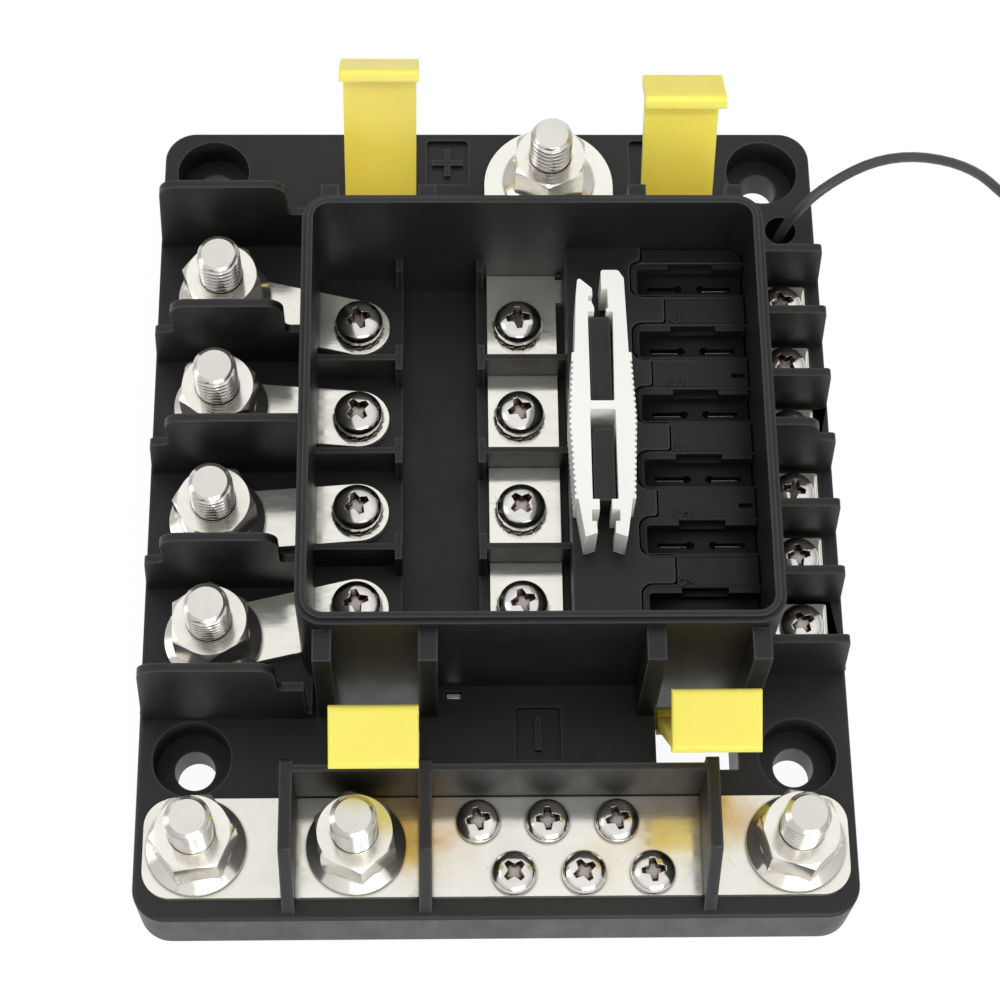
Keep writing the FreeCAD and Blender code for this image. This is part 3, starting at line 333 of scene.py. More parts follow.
# Its cross recess is darkened with painted shade and grime.
SCREW = metal(
    "screw_nickel", dark=(0.68, 0.66, 0.62), pale=(0.84, 0.82, 0.78), rough=0.15,
    scratch_stretch=(1, 1, 1), scratch_depth=0.000006, cloud=90.0, shade_and_grime=RECESS_SHADE_AND_GRIME, shade_and_grime_reach=2.4,
    shade_and_grime_local=True)
WASHER = metal(
    "washer_steel", dark=(0.34, 0.32, 0.29), pale=(0.56, 0.54, 0.50), rough=0.28,
    scratch_stretch=(1, 1, 1), scratch_depth=0.000008, shade_and_grime=BROWN_SHADE_AND_GRIME, shade_and_grime_reach=0.8)
WIRE = metal(
    "tinned_wire", dark=(0.60, 0.58, 0.55), pale=(0.80, 0.78, 0.75), rough=0.3,
    scratch_stretch=(1, 1, 5.0), scratch_depth=0.00001)


# Meshes and pieces


def mesh_from(bm, name):
    mesh = bpy.data.meshes.new(name)
    bm.to_mesh(mesh)
    bm.free()
    return mesh


def ring_point(bm, x, y, radius, angle, z):
    return bm.verts.new(((x + radius * math.cos(angle)) * MM, (y + radius * math.sin(angle)) * MM, z * MM))


def circle(bm, x, y, radius, z, count):
    return [ring_point(bm, x, y, radius, 2 * math.pi * index / count, z) for index in range(count)]


def bridge(bm, first, second):
    # A band of faces between two rings of equally many points.
    for index in range(len(first)):
        after = (index + 1) % len(first)
        bm.faces.new((first[index], first[after], second[after], second[index]))


def loft(bm, rings):
    # Walls between the rings from the lowest up, and a lid at either end.
    for lower, upper in zip(rings, rings[1:]):
        bridge(bm, lower, upper)
    bm.faces.new(list(reversed(rings[0])))
    bm.faces.new(rings[-1])


def joined(name, meshes):
    bm = bmesh.new()
    for mesh in meshes:
        bm.from_mesh(mesh)
        bpy.data.meshes.remove(mesh)
    return mesh_from(bm, name)


def shade_smooth(mesh, sharp_from):
    for polygon in mesh.polygons:
        polygon.use_smooth = True
    mesh.set_sharp_from_angle(angle=math.radians(sharp_from))


def add_object(name, mesh, material, sharp_from=35.0):
    obj = bpy.data.objects.new(name, mesh)
    bpy.context.scene.collection.objects.link(obj)
    mesh.materials.clear()
    mesh.materials.append(material)
    shade_smooth(mesh, sharp_from)
    return obj


def bake_modifiers(obj):
    # The modifiers' result becomes the mesh, so that the piece carries none.
    graph = bpy.context.evaluated_depsgraph_get()
    result = bpy.data.meshes.new_from_object(obj.evaluated_get(graph))
    old = obj.data
    obj.modifiers.clear()
    obj.data = result
    bpy.data.meshes.remove(old)


def soften(obj, width, segments=2, bevel_from=28.0):
    modifier = obj.modifiers.new("edge", "BEVEL")
    modifier.width = width * MM
    modifier.segments = segments
    modifier.limit_method = "ANGLE"
    modifier.angle_limit = math.radians(bevel_from)
    modifier.use_clamp_overlap = True
    modifier.miter_outer = "MITER_ARC"
    bake_modifiers(obj)
    shade_smooth(obj.data, sharp_from=40.0)
    weighted = obj.modifiers.new("normals", "WEIGHTED_NORMAL")
    weighted.keep_sharp = True
    bake_modifiers(obj)


def body_name(node_name):
    return node_name if node_name.startswith("latch_") else "block"


def finish_piece(obj, slot_name, *node_names):
    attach(obj, body_name(node_names[0]))
    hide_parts(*node_names)
    return obj


def finish_detail(obj):
    # A piece of the block that stands for no solid.
    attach(obj, "block")


# Skins: copies of the solids with softened edges

# The puller's front tips are shorter than the solid's, and its front window's post ends further forward
PULLER_TIP_START = -24.7
PULLER_TIP_SHARE = 0.49
POST_END_LOW = (17.3, -4.3, 28.9)
POST_END_HIGH = (21.5, -3.2, 36.5)
POST_END_MOVE = -2.7

# Along a latch from its hinge, its hook's lip starts and the hook's slab begins
LATCH_LIP_START = 36.6
LATCH_SLAB_START = 38.1
LATCH_LIP_SHARE = 0.15
LATCH_JOINTS = {joint["child"]: joint for joint in frame["record"]["behaviour"]["joints"]}

WELD_DISTANCE = 1e-6
FLAT_WITHIN = math.radians(0.6)


def welded_copy(node_name):
    source = NODES[node_name]
    bm = bmesh.new()
    bm.from_mesh(source.data)
    bmesh.ops.remove_doubles(bm, verts=bm.verts, dist=WELD_DISTANCE)
    bmesh.ops.dissolve_limit(bm, angle_limit=FLAT_WITHIN, verts=bm.verts, edges=bm.edges)
    mesh = mesh_from(bm, node_name + "_skin")
    mesh.transform(source.matrix_world)
    return mesh


def shorten_puller_tips(mesh):
    start = PULLER_TIP_START * MM
    for vertex in mesh.vertices:
        if vertex.co.y < start:
            vertex.co.y = start + (vertex.co.y - start) * PULLER_TIP_SHARE


def move_post_end(mesh):
    for vertex in mesh.vertices:
        ranges = zip(POST_END_LOW, vertex.co, POST_END_HIGH)
        if all(low * MM < value < high * MM for low, value, high in ranges):
            vertex.co.y += POST_END_MOVE * MM


def trim_latch_lip(mesh, joint):
    # The hook ends in a lower lip than the solid's.
    lean = math.radians(joint["range_deg"][1])
    hinge = Vector(joint["pos_m"])
    along = Vector((0, joint["axis"][0] * math.sin(lean), math.cos(lean)))
    for vertex in mesh.vertices:
        reach = (vertex.co - hinge).dot(along) / MM
        if LATCH_LIP_START < reach < LATCH_SLAB_START:
            wanted = LATCH_SLAB_START - (LATCH_SLAB_START - reach) * LATCH_LIP_SHARE
            vertex.co += along * ((wanted - reach) * MM)


CHANGES = {"fuse_puller": shorten_puller_tips, "base_moulding": move_post_end}


def skin(node_name, material, slot_name, edge_width):
    mesh = welded_copy(node_name)
    if node_name in CHANGES:
        CHANGES[node_name](mesh)
    if node_name in LATCH_JOINTS:
        trim_latch_lip(mesh, LATCH_JOINTS[node_name])
    obj = add_object(node_name + "_skin", mesh, material)
    soften(obj, edge_width)
    finish_piece(obj, slot_name, node_name)


STUD_NAMES = ["positive_stud"]
STUD_NAMES += ["output_stud_%d" % number for number in range(1, 5)]
STUD_NAMES += ["negative_stud_%d" % number for number in range(1, 4)]

# Node, material, slot and width of the softened edges
SKINS = [
    ("base_moulding", BLACK, "housing", 0.35),
    ("ato_fuse_carrier", CARRIER_BLACK, "housing", 0.28),
    ("fuse_puller", WHITE, "puller_plastic", 0.25),
    ("led_board", BOARD, "circuit_board", 0.1),
    ("ato_input_clips", TIN, "plated_bar", 0.08),
    ("positive_bus_bar", TIN, "plated_bar", 0.25),
    ("negative_bus_bar", BUS, "plated_bar", 0.3),
]
SKINS += [("output_strap_%d" % number, TIN, "plated_bar", 0.25) for number in range(1, 5)]
SKINS += [("ato_output_terminal_%d" % number, TIN, "plated_bar", 0.15) for number in range(1, 7)]
SKINS += [(name.replace("stud", "nut"), NUT, "plated_nut", 0.22) for name in STUD_NAMES]
SKINS += [(name, YELLOW, "latch_plastic", 0.3) for name in LATCH_JOINTS]

for entry in SKINS:
    skin(*entry)


# Studs, with a thread above and a hexagon head below

STUD_R = 4.0
STUD_SEGMENTS = 40
STUD_TOP_GAP = 0.02
THREAD_PITCH = 1.25
THREAD_DEPTH = 0.62
THREAD_START = 9.5
THREAD_RUN_OUT = 1.5
# How deep the groove is at even steps along one pitch, as a share of its full depth
GROOVE = (0.0, 0.0, 0.0, 0.2, 0.85, 1.0, 0.85, 0.2)
CHAMFER_HEIGHT = 0.7
CHAMFER_SLOPE = 1.3
HEAD_HEIGHT = 5.3
HEAD_OVERLAP = 0.1
HEAD_ACROSS = 13.0
HEAD_CHAMFER = 0.4
HEAD_CHAMFER_SHARE = 0.95


def groove_at(turn):
    step = turn * len(GROOVE)
    low = int(step) % len(GROOVE)
    high = (low + 1) % len(GROOVE)
    share = step - int(step)
    return GROOVE[low] * (1 - share) + GROOVE[high] * share


def thread_radius(above_start, segment):
    turn = (above_start / THREAD_PITCH - segment / STUD_SEGMENTS) % 1.0
    run_out = min(1.0, max(0.0, above_start / THREAD_RUN_OUT))
    return STUD_R - THREAD_DEPTH * groove_at(turn) * run_out


def thread_mesh(name, x, y, bottom, start, top):
    # A turned shank whose upper part carries a helical thread.
    step = THREAD_PITCH / len(GROOVE)
    levels = [(bottom, False), (start, False)]
    height = start + step
    while height < top - STUD_TOP_GAP:
        levels.append((height, True))
        height += step
    levels.append((top, False))
    bm = bmesh.new()
    rings = []
    for z, threaded in levels:
        chamfer = max(0.0, z - (top - CHAMFER_HEIGHT)) * CHAMFER_SLOPE
        ring = []
        for index in range(STUD_SEGMENTS):
            radius = thread_radius(z - start, index) if threaded else STUD_R
            angle = 2 * math.pi * index / STUD_SEGMENTS
            ring.append(ring_point(bm, x, y, min(radius, STUD_R - chamfer), angle, z))
        rings.append(ring)
    loft(bm, rings)
    return mesh_from(bm, name)


def hex_head_mesh(name, x, y, low, high):
    bm = bmesh.new()
    radius = HEAD_ACROSS / math.sqrt(3)
    levels = ((low, HEAD_CHAMFER_SHARE), (low + HEAD_CHAMFER, 1.0), (high, 1.0))
    loft(bm, [circle(bm, x, y, radius * share, z, 6) for z, share in levels])
    return mesh_from(bm, name)


def make_stud(name):
    low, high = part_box(name)
    middle = (low + high) / 2
    x, y = middle.x / MM, middle.y / MM
    head_low = low.z / MM
    head_high = head_low + HEAD_HEIGHT
    top = high.z / MM - STUD_TOP_GAP
    shank = thread_mesh(name + "_shank", x, y, head_high - HEAD_OVERLAP, head_high + THREAD_START, top)
    head = hex_head_mesh(name + "_head", x, y, head_low, head_high)
    obj = add_object(name + "_threaded", joined(name + "_threaded", [shank, head]), STUD, sharp_from=32.0)
    finish_piece(obj, "plated_stud", name)


for stud_name in STUD_NAMES:
    make_stud(stud_name)


# Screws and toothed washers

TURNED_SEGMENTS = 48
CUTTER_ABOVE = 0.6
CROSS_FLOOR_ARM = 0.5
CROSS_FLOOR_WIDTH = 0.8
CROSS_FLOOR_CORE = 0.6
HEAD_RIM_SHARE = 0.36
HEAD_EDGE = 0.12
HEAD_EDGE_HEIGHT = 0.14
DOME_STEP = 9
DOME_FLATNESS = 0.92
SHANK_TIP_SHARE = 0.8
SHANK_TIP = 0.5
RECESS_EDGE = 0.09
TOOTH_LENGTH = 1.15
TOOTH_ROOT = 0.1
TOOTH_SHARE = 0.74
TOOTH_LEAN = 0.75
# A tooth's corners: which side, and how high as a share of the washer's thickness
TOOTH_SECTION = ((-1, 0.0), (1, 1.0), (1, 1.35), (-1, 0.35))
TOOTH_MIDDLE = 0.68
TOOTH_ROOT_TWIST = 0.35
WASHER_INSET = 0.15


def turned_mesh(name, profile):
    # A body of revolution. A profile point on the axis makes one vertex.
    bm = bmesh.new()
    rings = []
    for radius, z in profile:
        rings.append(circle(bm, 0, 0, radius, z, TURNED_SEGMENTS if radius else 1))
    for lower, upper in zip(rings, rings[1:]):
        if len(lower) == len(upper):
            bridge(bm, lower, upper)
            continue
        for index in range(TURNED_SEGMENTS):
            after = (index + 1) % TURNED_SEGMENTS
            if len(lower) == 1:
                bm.faces.new((lower[0], upper[after], upper[index]))
            else:
                bm.faces.new((lower[index], lower[after], upper[0]))
    bm.normal_update()
    return mesh_from(bm, name)


def cross_cutter(name, arm, half_width, core, top, depth):
    # A cross with full corners between its arms, which narrows towards its floor.
    mouth = (top + CUTTER_ABOVE, arm, half_width, core)
    floor = (top - depth, CROSS_FLOOR_ARM * arm, CROSS_FLOOR_WIDTH * half_width, CROSS_FLOOR_CORE * core)
    bm = bmesh.new()
    rings = []
    for z, long, wide, inner in (floor, mouth):
        ring = []
        for quarter in range(4):
            turn = Matrix.Rotation(quarter * math.pi / 2, 3, "Z")
            for x, y in ((long, -wide), (long, wide), (inner, inner)):
                ring.append(bm.verts.new((turn @ Vector((x, y, z))) * MM))
        rings.append(ring)
    loft(bm, rings)
    bmesh.ops.recalc_face_normals(bm, faces=bm.faces)
    return mesh_from(bm, name)


def screw_mesh(name, head_r, head_height, shank_r, length, arm, half_width, core, depth):
    # A domed head with a cross recess on a plain shank. The head's underside is at nought.
    rim = head_height * HEAD_RIM_SHARE
    profile = [(0, -length), (shank_r * SHANK_TIP_SHARE, -length), (shank_r, SHANK_TIP - length),
               (shank_r, 0), (head_r - HEAD_EDGE, 0), (head_r, HEAD_EDGE_HEIGHT), (head_r, rim)]
    for degrees in range(DOME_STEP - 1, 90, DOME_STEP):
        angle = math.radians(degrees)
        radius = head_r * math.cos(angle) ** DOME_FLATNESS
        profile.append((radius, rim + (head_height - rim) * math.sin(angle)))
    profile.append((0, head_height))
    obj = add_object(name, turned_mesh(name, profile), SCREW)
    cutter_mesh = cross_cutter(name + "_cutter", arm, half_width, core, head_height, depth)
    cutter = add_object(name + "_cutter", cutter_mesh, SCREW)
    modifier = obj.modifiers.new("recess", "BOOLEAN")
    modifier.operation = "DIFFERENCE"
    modifier.solver = "EXACT"
    modifier.object = cutter
    bake_modifiers(obj)
    bpy.data.objects.remove(cutter)
    soften(obj, RECESS_EDGE, bevel_from=40.0)
    mesh = obj.data
    bpy.data.objects.remove(obj)
    return mesh


def washer_mesh(name, inner_r, outer_r, thickness, teeth):
    # A ring whose outer teeth are each twisted about their own radius.
    bm = bmesh.new()
    ring_r = outer_r - TOOTH_LENGTH
    low, high = WASHER_INSET, thickness - WASHER_INSET
    corners = ((inner_r, low), (inner_r, high), (ring_r, high), (ring_r, low))
    rows = [circle(bm, 0, 0, radius, z, teeth * 4) for radius, z in corners]
    for first, second in zip(rows, rows[1:] + rows[:1]):
        bridge(bm, first, second)
    half = math.pi / teeth * TOOTH_SHARE
    for tooth in range(teeth):
        centre_angle = 2 * math.pi * (tooth + 0.5) / teeth
        sections = []
        for radius, twist in ((ring_r - TOOTH_ROOT, TOOTH_ROOT_TWIST), (outer_r, 1.0)):
            section = []
            for side, level in TOOTH_SECTION:
                z = thickness * (0.5 + (level - TOOTH_MIDDLE) * twist * TOOTH_LEAN)
                section.append(ring_point(bm, 0, 0, radius, centre_angle + side * half, z))
            sections.append(section)
        loft(bm, sections)
    bmesh.ops.recalc_face_normals(bm, faces=bm.faces)
    return mesh_from(bm, name)


def scattered(name, mesh, places, material, node_name):
    # Copies of one mesh, each at a place and turned by its own angle, as one piece.
    bm = bmesh.new()
    for x, y, z, turn in places:
        copy = mesh.copy()
        copy.transform(Matrix.Translation((x * MM, y * MM, z * MM)) @ Matrix.Rotation(turn, 4, "Z"))
        bm.from_mesh(copy)
        bpy.data.meshes.remove(copy)
    obj = add_object(name, mesh_from(bm, name), material, sharp_from=32.0)
    finish_piece(obj, "plated_screw", node_name)


FUSE_SCREW = screw_mesh("fuse_screw", head_r=4.45, head_height=3.4, shank_r=2.5, length=9.0,
                        arm=2.75, half_width=0.55, core=1.0, depth=1.8)
SMALL_SCREW = screw_mesh("small_screw", head_r=3.9, head_height=2.6, shank_r=2.0, length=8.0,
                         arm=2.65, half_width=0.5, core=0.92, depth=1.5)
TOOTHED = washer_mesh("toothed", inner_r=2.6, outer_r=4.78, thickness=0.9, teeth=14)

# Where the screws stand, and how far each is turned
FUSE_ROW_YS = [23.575 - 19.05 * index for index in range(4)]
FUSE_HEAD_Z = 19.5
FUSE_WASHER_Z = 18.6
FUSE_COLUMNS = (
    ("left", -24.9, (0.35, 0.65, 0.42, 0.2)),
    ("right", 5.1, (0.1, 0.35, 0.72, 0.3)),
)
BUS_HEAD_Z = 15.6
BUS_REAR_Y = -72.75
BUS_FRONT_Y = -82.05
BUS_REAR_ROW = ((-3.3, 0.25), (8.9, 0.05), (21.1, 0.3))
BUS_FRONT_ROW = ((2.9, 0.75), (15.1, 0.55), (27.1, 0.1))
BLADE_PITCH = 13.05
TERMINAL_X = 55.5
TERMINAL_REAR_Y = 28.025
TERMINAL_HEAD_Z = 18.2
TERMINAL_FIRST_TURN = 0.3
TERMINAL_TURN_STEP = 0.35

for side, x, turns in FUSE_COLUMNS:
    heads = [(x, y, FUSE_HEAD_Z, turn) for y, turn in zip(FUSE_ROW_YS, turns)]
    scattered("fuse_screws_%s_heads" % side, FUSE_SCREW, heads, SCREW, "fuse_screws_" + side)
    washers = [(x, y, FUSE_WASHER_Z, turn) for y, turn in zip(FUSE_ROW_YS, turns)]
    scattered("lock_washers_%s_teeth" % side, TOOTHED, washers, WASHER, "lock_washers_" + side)

bus_heads = [(x, BUS_REAR_Y, BUS_HEAD_Z, turn) for x, turn in BUS_REAR_ROW]
bus_heads += [(x, BUS_FRONT_Y, BUS_HEAD_Z, turn) for x, turn in BUS_FRONT_ROW]
scattered("negative_bus_screws_heads", SMALL_SCREW, bus_heads, SCREW, "negative_bus_screws")

terminal_heads = []
for index in range(6):
    y = TERMINAL_REAR_Y - BLADE_PITCH * index
    turn = TERMINAL_FIRST_TURN + TERMINAL_TURN_STEP * index
    terminal_heads.append((TERMINAL_X, y, TERMINAL_HEAD_Z, turn))
scattered("terminal_screws_heads", SMALL_SCREW, terminal_heads, SCREW, "terminal_screws")


# The metal end that shows in the small slot of the plate

TAB_CENTRE = (-7.45, -48.6)
TAB_HALF = (1.44, 0.62)
TAB_LOW = 8.0
TAB_TOP = 13.55
TAB_EDGE = 0.25


def metal_tab():
    x, y = TAB_CENTRE
    half_x, half_y = TAB_HALF
    corners = ((-half_x, -half_y), (half_x, -half_y), (half_x, half_y), (-half_x, half_y))
    bm = bmesh.new()
    rings = []
    for z in (TAB_LOW, TAB_TOP):
        rings.append([bm.verts.new(Vector((x + dx, y + dy, z)) * MM) for dx, dy in corners])
    loft(bm, rings)
    obj = add_object("metal_tab", mesh_from(bm, "metal_tab"), TIN)
    soften(obj, TAB_EDGE, segments=3)
    finish_detail(obj)


metal_tab()


# Beads and numbers on the blade fuse carrier

BLADE_YS = [27.625 - BLADE_PITCH * index for index in range(6)]
CARRIER_TOP = 29.0
# The bead's place round a slot's middle, and its round corners
RIM_LEFT = 26.7
RIM_RIGHT = 47.9
RIM_FRONT = -3.3
RIM_REAR = 4.1
RIM_CORNER_R = 1.6
RIM_CORNER_STEPS = 5
RIM_HALF_WIDTH = 0.26
RIM_HEIGHT = 0.12
# Across the bead and up it, as shares of its half width and its height
RIM_SECTION = ((-1.0, -0.3), (-0.6, 0.7), (0.0, 1.0), (0.6, 0.7), (1.0, -0.3))
NUMERAL_X = 33.5
NUMERAL_BEHIND = 4.9
NUMERAL_SIZE = 4.0
NUMERAL_RISE = 0.2
NUMERAL_TURN = -math.pi / 2


def rounded_outline(left, right, front, rear, radius):
    # Points round a rectangle with round corners, each with its outward direction.
    outline = []
    corners = ((right - radius, rear - radius, 0), (left + radius, rear - radius, 90),
               (left + radius, front + radius, 180), (right - radius, front + radius, 270))
    for x, y, start in corners:
        for step in range(RIM_CORNER_STEPS + 1):
            angle = math.radians(start + 90 * step / RIM_CORNER_STEPS)
            outward = Vector((math.cos(angle), math.sin(angle), 0))
            outline.append((Vector((x, y, 0)) + outward * radius, outward))
    return outline


def slot_rims():
    # A low bead round each blade fuse slot.
    bm = bmesh.new()
    for slot_y in BLADE_YS:
        rings = []
        outline = rounded_outline(RIM_LEFT, RIM_RIGHT, slot_y + RIM_FRONT, slot_y + RIM_REAR, RIM_CORNER_R)
        for point, outward in outline:
            ring = []
            for across, rise in RIM_SECTION:
                up = Vector((0, 0, CARRIER_TOP + RIM_HEIGHT * rise))
                ring.append(bm.verts.new((point + outward * (RIM_HALF_WIDTH * across) + up) * MM))
            rings.append(ring)
        for first, second in zip(rings, rings[1:] + rings[:1]):
            bridge(bm, first, second)
    bmesh.ops.recalc_face_normals(bm, faces=bm.faces)
    obj = add_object("slot_rims", mesh_from(bm, "slot_rims"), CARRIER_BLACK, sharp_from=60.0)
    finish_detail(obj)


def numeral_mesh(number):
    text = bpy.data.curves.new("numeral", "FONT")
    text.body = str(number)
    text.size = NUMERAL_SIZE * MM
    text.extrude = NUMERAL_RISE * MM
    text.align_x = "CENTER"
    text.align_y = "CENTER"
    text.resolution_u = 4
    holder = bpy.data.objects.new("numeral", text)
    bpy.context.scene.collection.objects.link(holder)
    graph = bpy.context.evaluated_depsgraph_get()
    mesh = bpy.data.meshes.new_from_object(holder.evaluated_get(graph))
    bpy.data.objects.remove(holder)
    bpy.data.curves.remove(text)
    return mesh


def slot_numerals():
    # Plain raised numbers, one behind each slot, each turned by a quarter.
    bm = bmesh.new()
    for index, slot_y in enumerate(BLADE_YS):
        mesh = numeral_mesh(index + 1)
        place_at = Vector((NUMERAL_X, slot_y + NUMERAL_BEHIND, CARRIER_TOP)) * MM
        mesh.transform(Matrix.Translation(place_at) @ Matrix.Rotation(NUMERAL_TURN, 4, "Z"))
        bm.from_mesh(mesh)
        bpy.data.meshes.remove(mesh)
    bmesh.ops.remove_doubles(bm, verts=bm.verts, dist=1e-7)
    obj = add_object("slot_numerals", mesh_from(bm, "slot_numerals"), CARRIER_BLACK, sharp_from=30.0)
    finish_detail(obj)


slot_rims()
slot_numerals()


# Lead

LEAD_R = 1.0
# Near the frame's route, and set to follow the photograph
LEAD_ROUTE = [
    (56.0, 46.2, 2.0),
    (56.0, 46.4, 13.6),
    (63.8, 51.4, 23.6),
    (78.2, 59.2, 23.4),
    (96.0, 63.0, 13.0),
    (107.0, 60.6, 1.05),
    (118.6, 54.0, 1.05),
]
COIL_CENTRE = (118.6, 38.3)
COIL_OUTER_R = 13.6
COIL_INNER_R = 9.4
COIL_START = 60.0
COIL_TURNS = 2.52
COIL_CLOSING_TURNS = 2
COIL_STEPS = 16
LEAD_END_START_R = 7.5
LEAD_END_ANGLE = 200.0
LEAD_END_SLANT = 30.0
LEAD_END_RUN = 3.0

STRAND_COUNT = 7
STRAND_R = 0.2
STRAND_OFFSET = 0.4
STRAND_TWIST = 0.8
STRAND_LENGTH = 6.0
STRAND_INSIDE = 0.3
STRAND_LEVELS = 12
STRAND_SIDES = 8


def lead_points():
    # The route, then a flat spiral wound inward, then the short run to the bare end.
    points = [Vector(point) for point in LEAD_ROUTE]
    centre = Vector((*COIL_CENTRE, points[-1].z))
    half_step = math.pi / COIL_STEPS
    for index in range(int(COIL_TURNS * COIL_STEPS)):
        turns = (index + 0.5) / COIL_STEPS
        angle = math.radians(COIL_START) - 2 * math.pi * turns
        closed = min(1.0, turns / COIL_CLOSING_TURNS)
        radius = COIL_OUTER_R + (COIL_INNER_R - COIL_OUTER_R) * closed
        radius /= math.cos(half_step)
        points.append(centre + Vector((radius * math.cos(angle), radius * math.sin(angle), 0)))
    angle = math.radians(LEAD_END_ANGLE)
    slant = math.radians(LEAD_END_SLANT)
    outward = Vector((math.cos(angle), math.sin(angle), 0))
    onward = Vector((math.sin(angle), -math.cos(angle), 0))
    end = centre + outward * LEAD_END_START_R
    direction = onward * math.cos(slant) - outward * math.sin(slant)
    points.append(end - direction * LEAD_END_RUN)
    points.append(end)
    return points


def make_lead(points):
    curve = bpy.data.curves.new("lead", "CURVE")
    curve.dimensions = "3D"
    curve.bevel_depth = LEAD_R * MM
    curve.bevel_resolution = 5
    curve.resolution_u = 6
    curve.use_fill_caps = True
    spline = curve.splines.new("NURBS")
    spline.points.add(len(points) - 1)
    for target, point in zip(spline.points, points):
        target.co = (*(point * MM), 1)
    spline.order_u = 3
    spline.use_endpoint_u = True
    obj = bpy.data.objects.new("ground_lead_wire", curve)
    bpy.context.scene.collection.objects.link(obj)
    curve.materials.append(LEAD_BLACK)
    return finish_piece(obj, "lead_insulation", "ground_lead", "ground_lead_coil")


def strand_mesh(strand):
    offset = STRAND_OFFSET if strand else 0.0
    start_angle = math.pi / 3 * strand
    bm = bmesh.new()
    rings = []
    for level in range(STRAND_LEVELS + 1):
        along = STRAND_LENGTH * level / STRAND_LEVELS - STRAND_INSIDE
        angle = start_angle + STRAND_TWIST * along
        x, y = offset * math.cos(angle), offset * math.sin(angle)
        rings.append(circle(bm, x, y, STRAND_R, along, STRAND_SIDES))
    loft(bm, rings)
    return mesh_from(bm, "strand")


def make_lead_end(points):
    # Tinned strands, twisted a little.
    mesh = joined("lead_strands", [strand_mesh(strand) for strand in range(STRAND_COUNT)])
    direction = (points[-1] - points[-2]).normalized()
    turn = direction.to_track_quat("Z", "Y").to_matrix().to_4x4()
    mesh.transform(Matrix.Translation(points[-1] * MM) @ turn)
    obj = add_object("ground_lead_strands", mesh, WIRE, sharp_from=60.0)
    return finish_piece(obj, "tinned_wire", "ground_lead_end")


lead_line = lead_points()
lead = make_lead(lead_line)
lead_tip = make_lead_end(lead_line)


# Stage, in metres

FLOOR_HALF = 3.0
FLOOR_GLOW = 1.03
FLOOR_GLOW_SHARE = 0.92
# The world's brightness by the direction's height, and a weak change from left to right
WORLD_HEIGHTS = ((0.0, 0.48), (0.35, 0.55), (0.7, 0.95), (0.86, 1.06), (0.96, 1.0))
WORLD_SIDES = ((0.1, 0.96), (0.9, 1.0))
# Place, target, size and power of the wide lamps
KEY_LAMP = ((0.25, -0.85, 0.50), (0, 0, 0.02), (0.7, 0.5), 4.0)
SIDE_LAMP = ((-0.75, 0.05, 0.42), (0, 0, 0.02), (0.3, 0.8), 1.0)
# The rear latches stand in the shade of the bay's wall, so each has a small lamp: its x and power
LATCH_LAMPS = (("rear_left", -0.021, 3.8), ("rear_right", 0.036, 4.3))
LATCH_LAMP_PLACE = (-0.17, 0.50)
LATCH_LAMP_TARGET = (0.058, 0.020)
LATCH_LAMP_ANGLE = 0.080
LATCH_LAMP_BLEND = 0.8
LATCH_LAMP_R = 0.015


def studio_floor():
    # Mostly a white glow to the camera and in reflections. The rest is a surface that takes shadows.
    mesh = bpy.data.meshes.new("studio_floor")
    signs = ((-1, -1), (1, -1), (1, 1), (-1, 1))
    mesh.from_pydata([(x * FLOOR_HALF, y * FLOOR_HALF, 0) for x, y in signs], [], [(0, 1, 2, 3)])
    obj = bpy.data.objects.new("studio_floor", mesh)
    bpy.context.scene.collection.objects.link(obj)
    material, tree, shader = new_material("floor_white")
    set_inputs(shader, {"Base Color": grey(0.86), "Roughness": 0.9})
    path = node(tree, "ShaderNodeLightPath")
    either = calculate(tree, "MAXIMUM", (path, "Is Camera Ray"), (path, "Is Glossy Ray"))
    seen = calculate(tree, "MAXIMUM", (either, "Value"), (path, "Is Transmission Ray"))
    share = calculate(tree, "MULTIPLY", (seen, "Value"), FLOOR_GLOW_SHARE)
    glow = node(tree, "ShaderNodeEmission")
    glow.inputs["Strength"].default_value = FLOOR_GLOW
    mix = node(tree, "ShaderNodeMixShader")
    link(tree, share, "Value", mix, "Fac")
    link(tree, shader, "BSDF", mix, 1)
    link(tree, glow, "Emission", mix, 2)
    link(tree, mix, "Shader", tree.nodes["Material Output"], "Surface")
    mesh.materials.append(material)


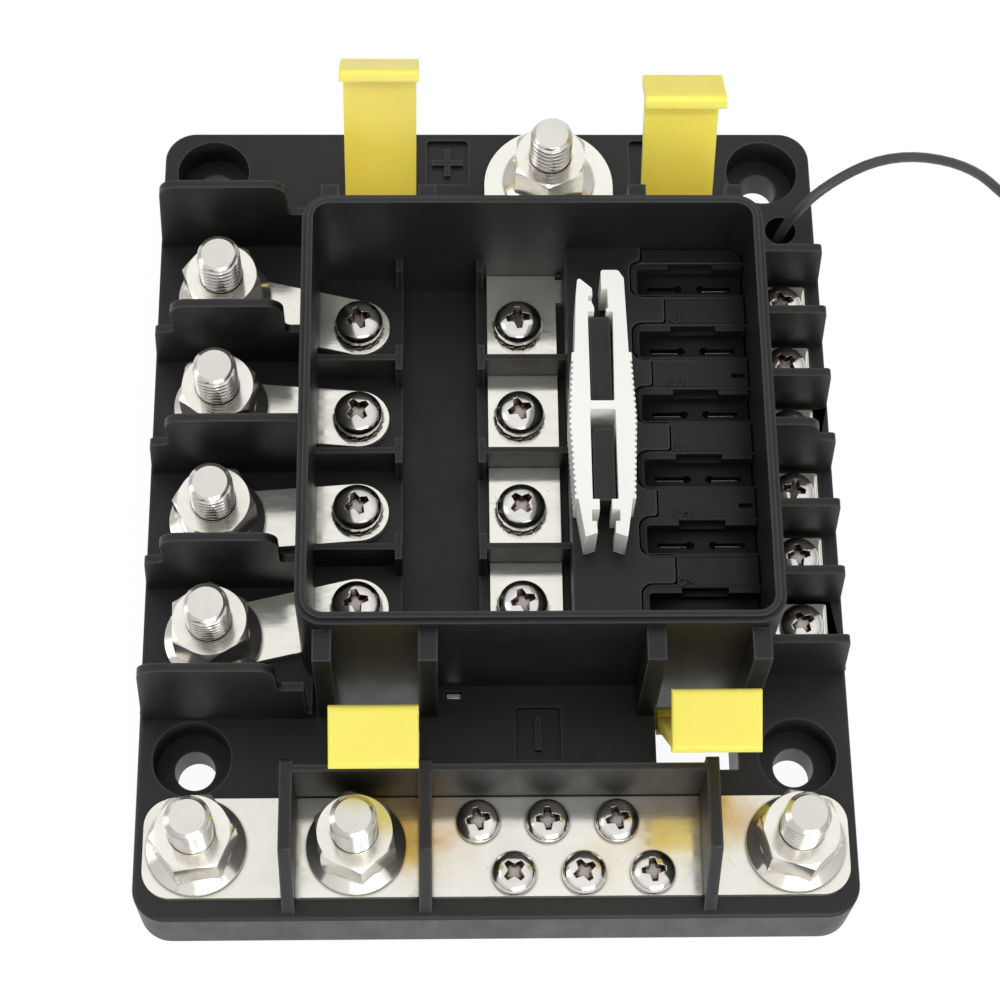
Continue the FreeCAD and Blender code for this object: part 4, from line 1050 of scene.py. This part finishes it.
def world_light():
    world = bpy.data.worlds.new("studio")
    bpy.context.scene.world = world
    world.use_nodes = True
    tree = world.node_tree
    coordinates = node(tree, "ShaderNodeTexCoord")
    split = node(tree, "ShaderNodeSeparateXYZ")
    link(tree, coordinates, "Generated", split, "Vector")
    height = ramp(tree, split, "Z", [(at, grey(value)) for at, value in WORLD_HEIGHTS])
    across = remap(tree, split, "X", (-1.0, 1.0))
    side = ramp(tree, across, "Result", [(at, grey(value)) for at, value in WORLD_SIDES])
    shade = mix_colours(tree, 1.0, None, height, side, "MULTIPLY")
    path = node(tree, "ShaderNodeLightPath")
    colour = mix_colours(tree, path, "Is Camera Ray", shade, grey(1))
    background = tree.nodes["Background"]
    background.inputs["Strength"].default_value = 1.0
    link(tree, colour, "Color", background, "Color")


def stand_light(name, data, place_at, target):
    obj = bpy.data.objects.new(name, data)
    bpy.context.scene.collection.objects.link(obj)
    obj.location = place_at
    direction = Vector(target) - Vector(place_at)
    obj.rotation_euler = direction.to_track_quat("-Z", "Y").to_euler()


def area_light(name, place_at, target, size, power):
    data = bpy.data.lights.new(name, "AREA")
    data.shape = "RECTANGLE"
    data.size, data.size_y = size
    data.energy = power
    stand_light(name, data, place_at, target)


def latch_light(name, x, power):
    data = bpy.data.lights.new(name, "SPOT")
    data.energy = power
    data.spot_size = LATCH_LAMP_ANGLE
    data.spot_blend = LATCH_LAMP_BLEND
    data.shadow_soft_size = LATCH_LAMP_R
    stand_light(name, data, (x, *LATCH_LAMP_PLACE), (x, *LATCH_LAMP_TARGET))


def studio_camera():
    data = bpy.data.cameras.new("camera")
    data.sensor_width = CAMERA_SENSOR
    data.lens = CAMERA_LENS
    data.clip_start = CAMERA_NEAR
    data.clip_end = CAMERA_FAR
    obj = bpy.data.objects.new("camera", data)
    bpy.context.scene.collection.objects.link(obj)
    rx, ry, rz = CAMERA_TURNS
    world_to_camera = Matrix.Rotation(rz, 3, "Z") @ Matrix.Rotation(rx, 3, "X") @ Matrix.Rotation(ry, 3, "Y")
    obj.matrix_world = Matrix.Translation(CAMERA_PLACE) @ world_to_camera.transposed().to_4x4()
    bpy.context.scene.camera = obj


studio_floor()
world_light()
area_light("key", *KEY_LAMP)
area_light("side", *SIDE_LAMP)
for lamp in LATCH_LAMPS:
    latch_light(*lamp)
studio_camera()

bpy.context.scene.view_settings.view_transform = "Standard"
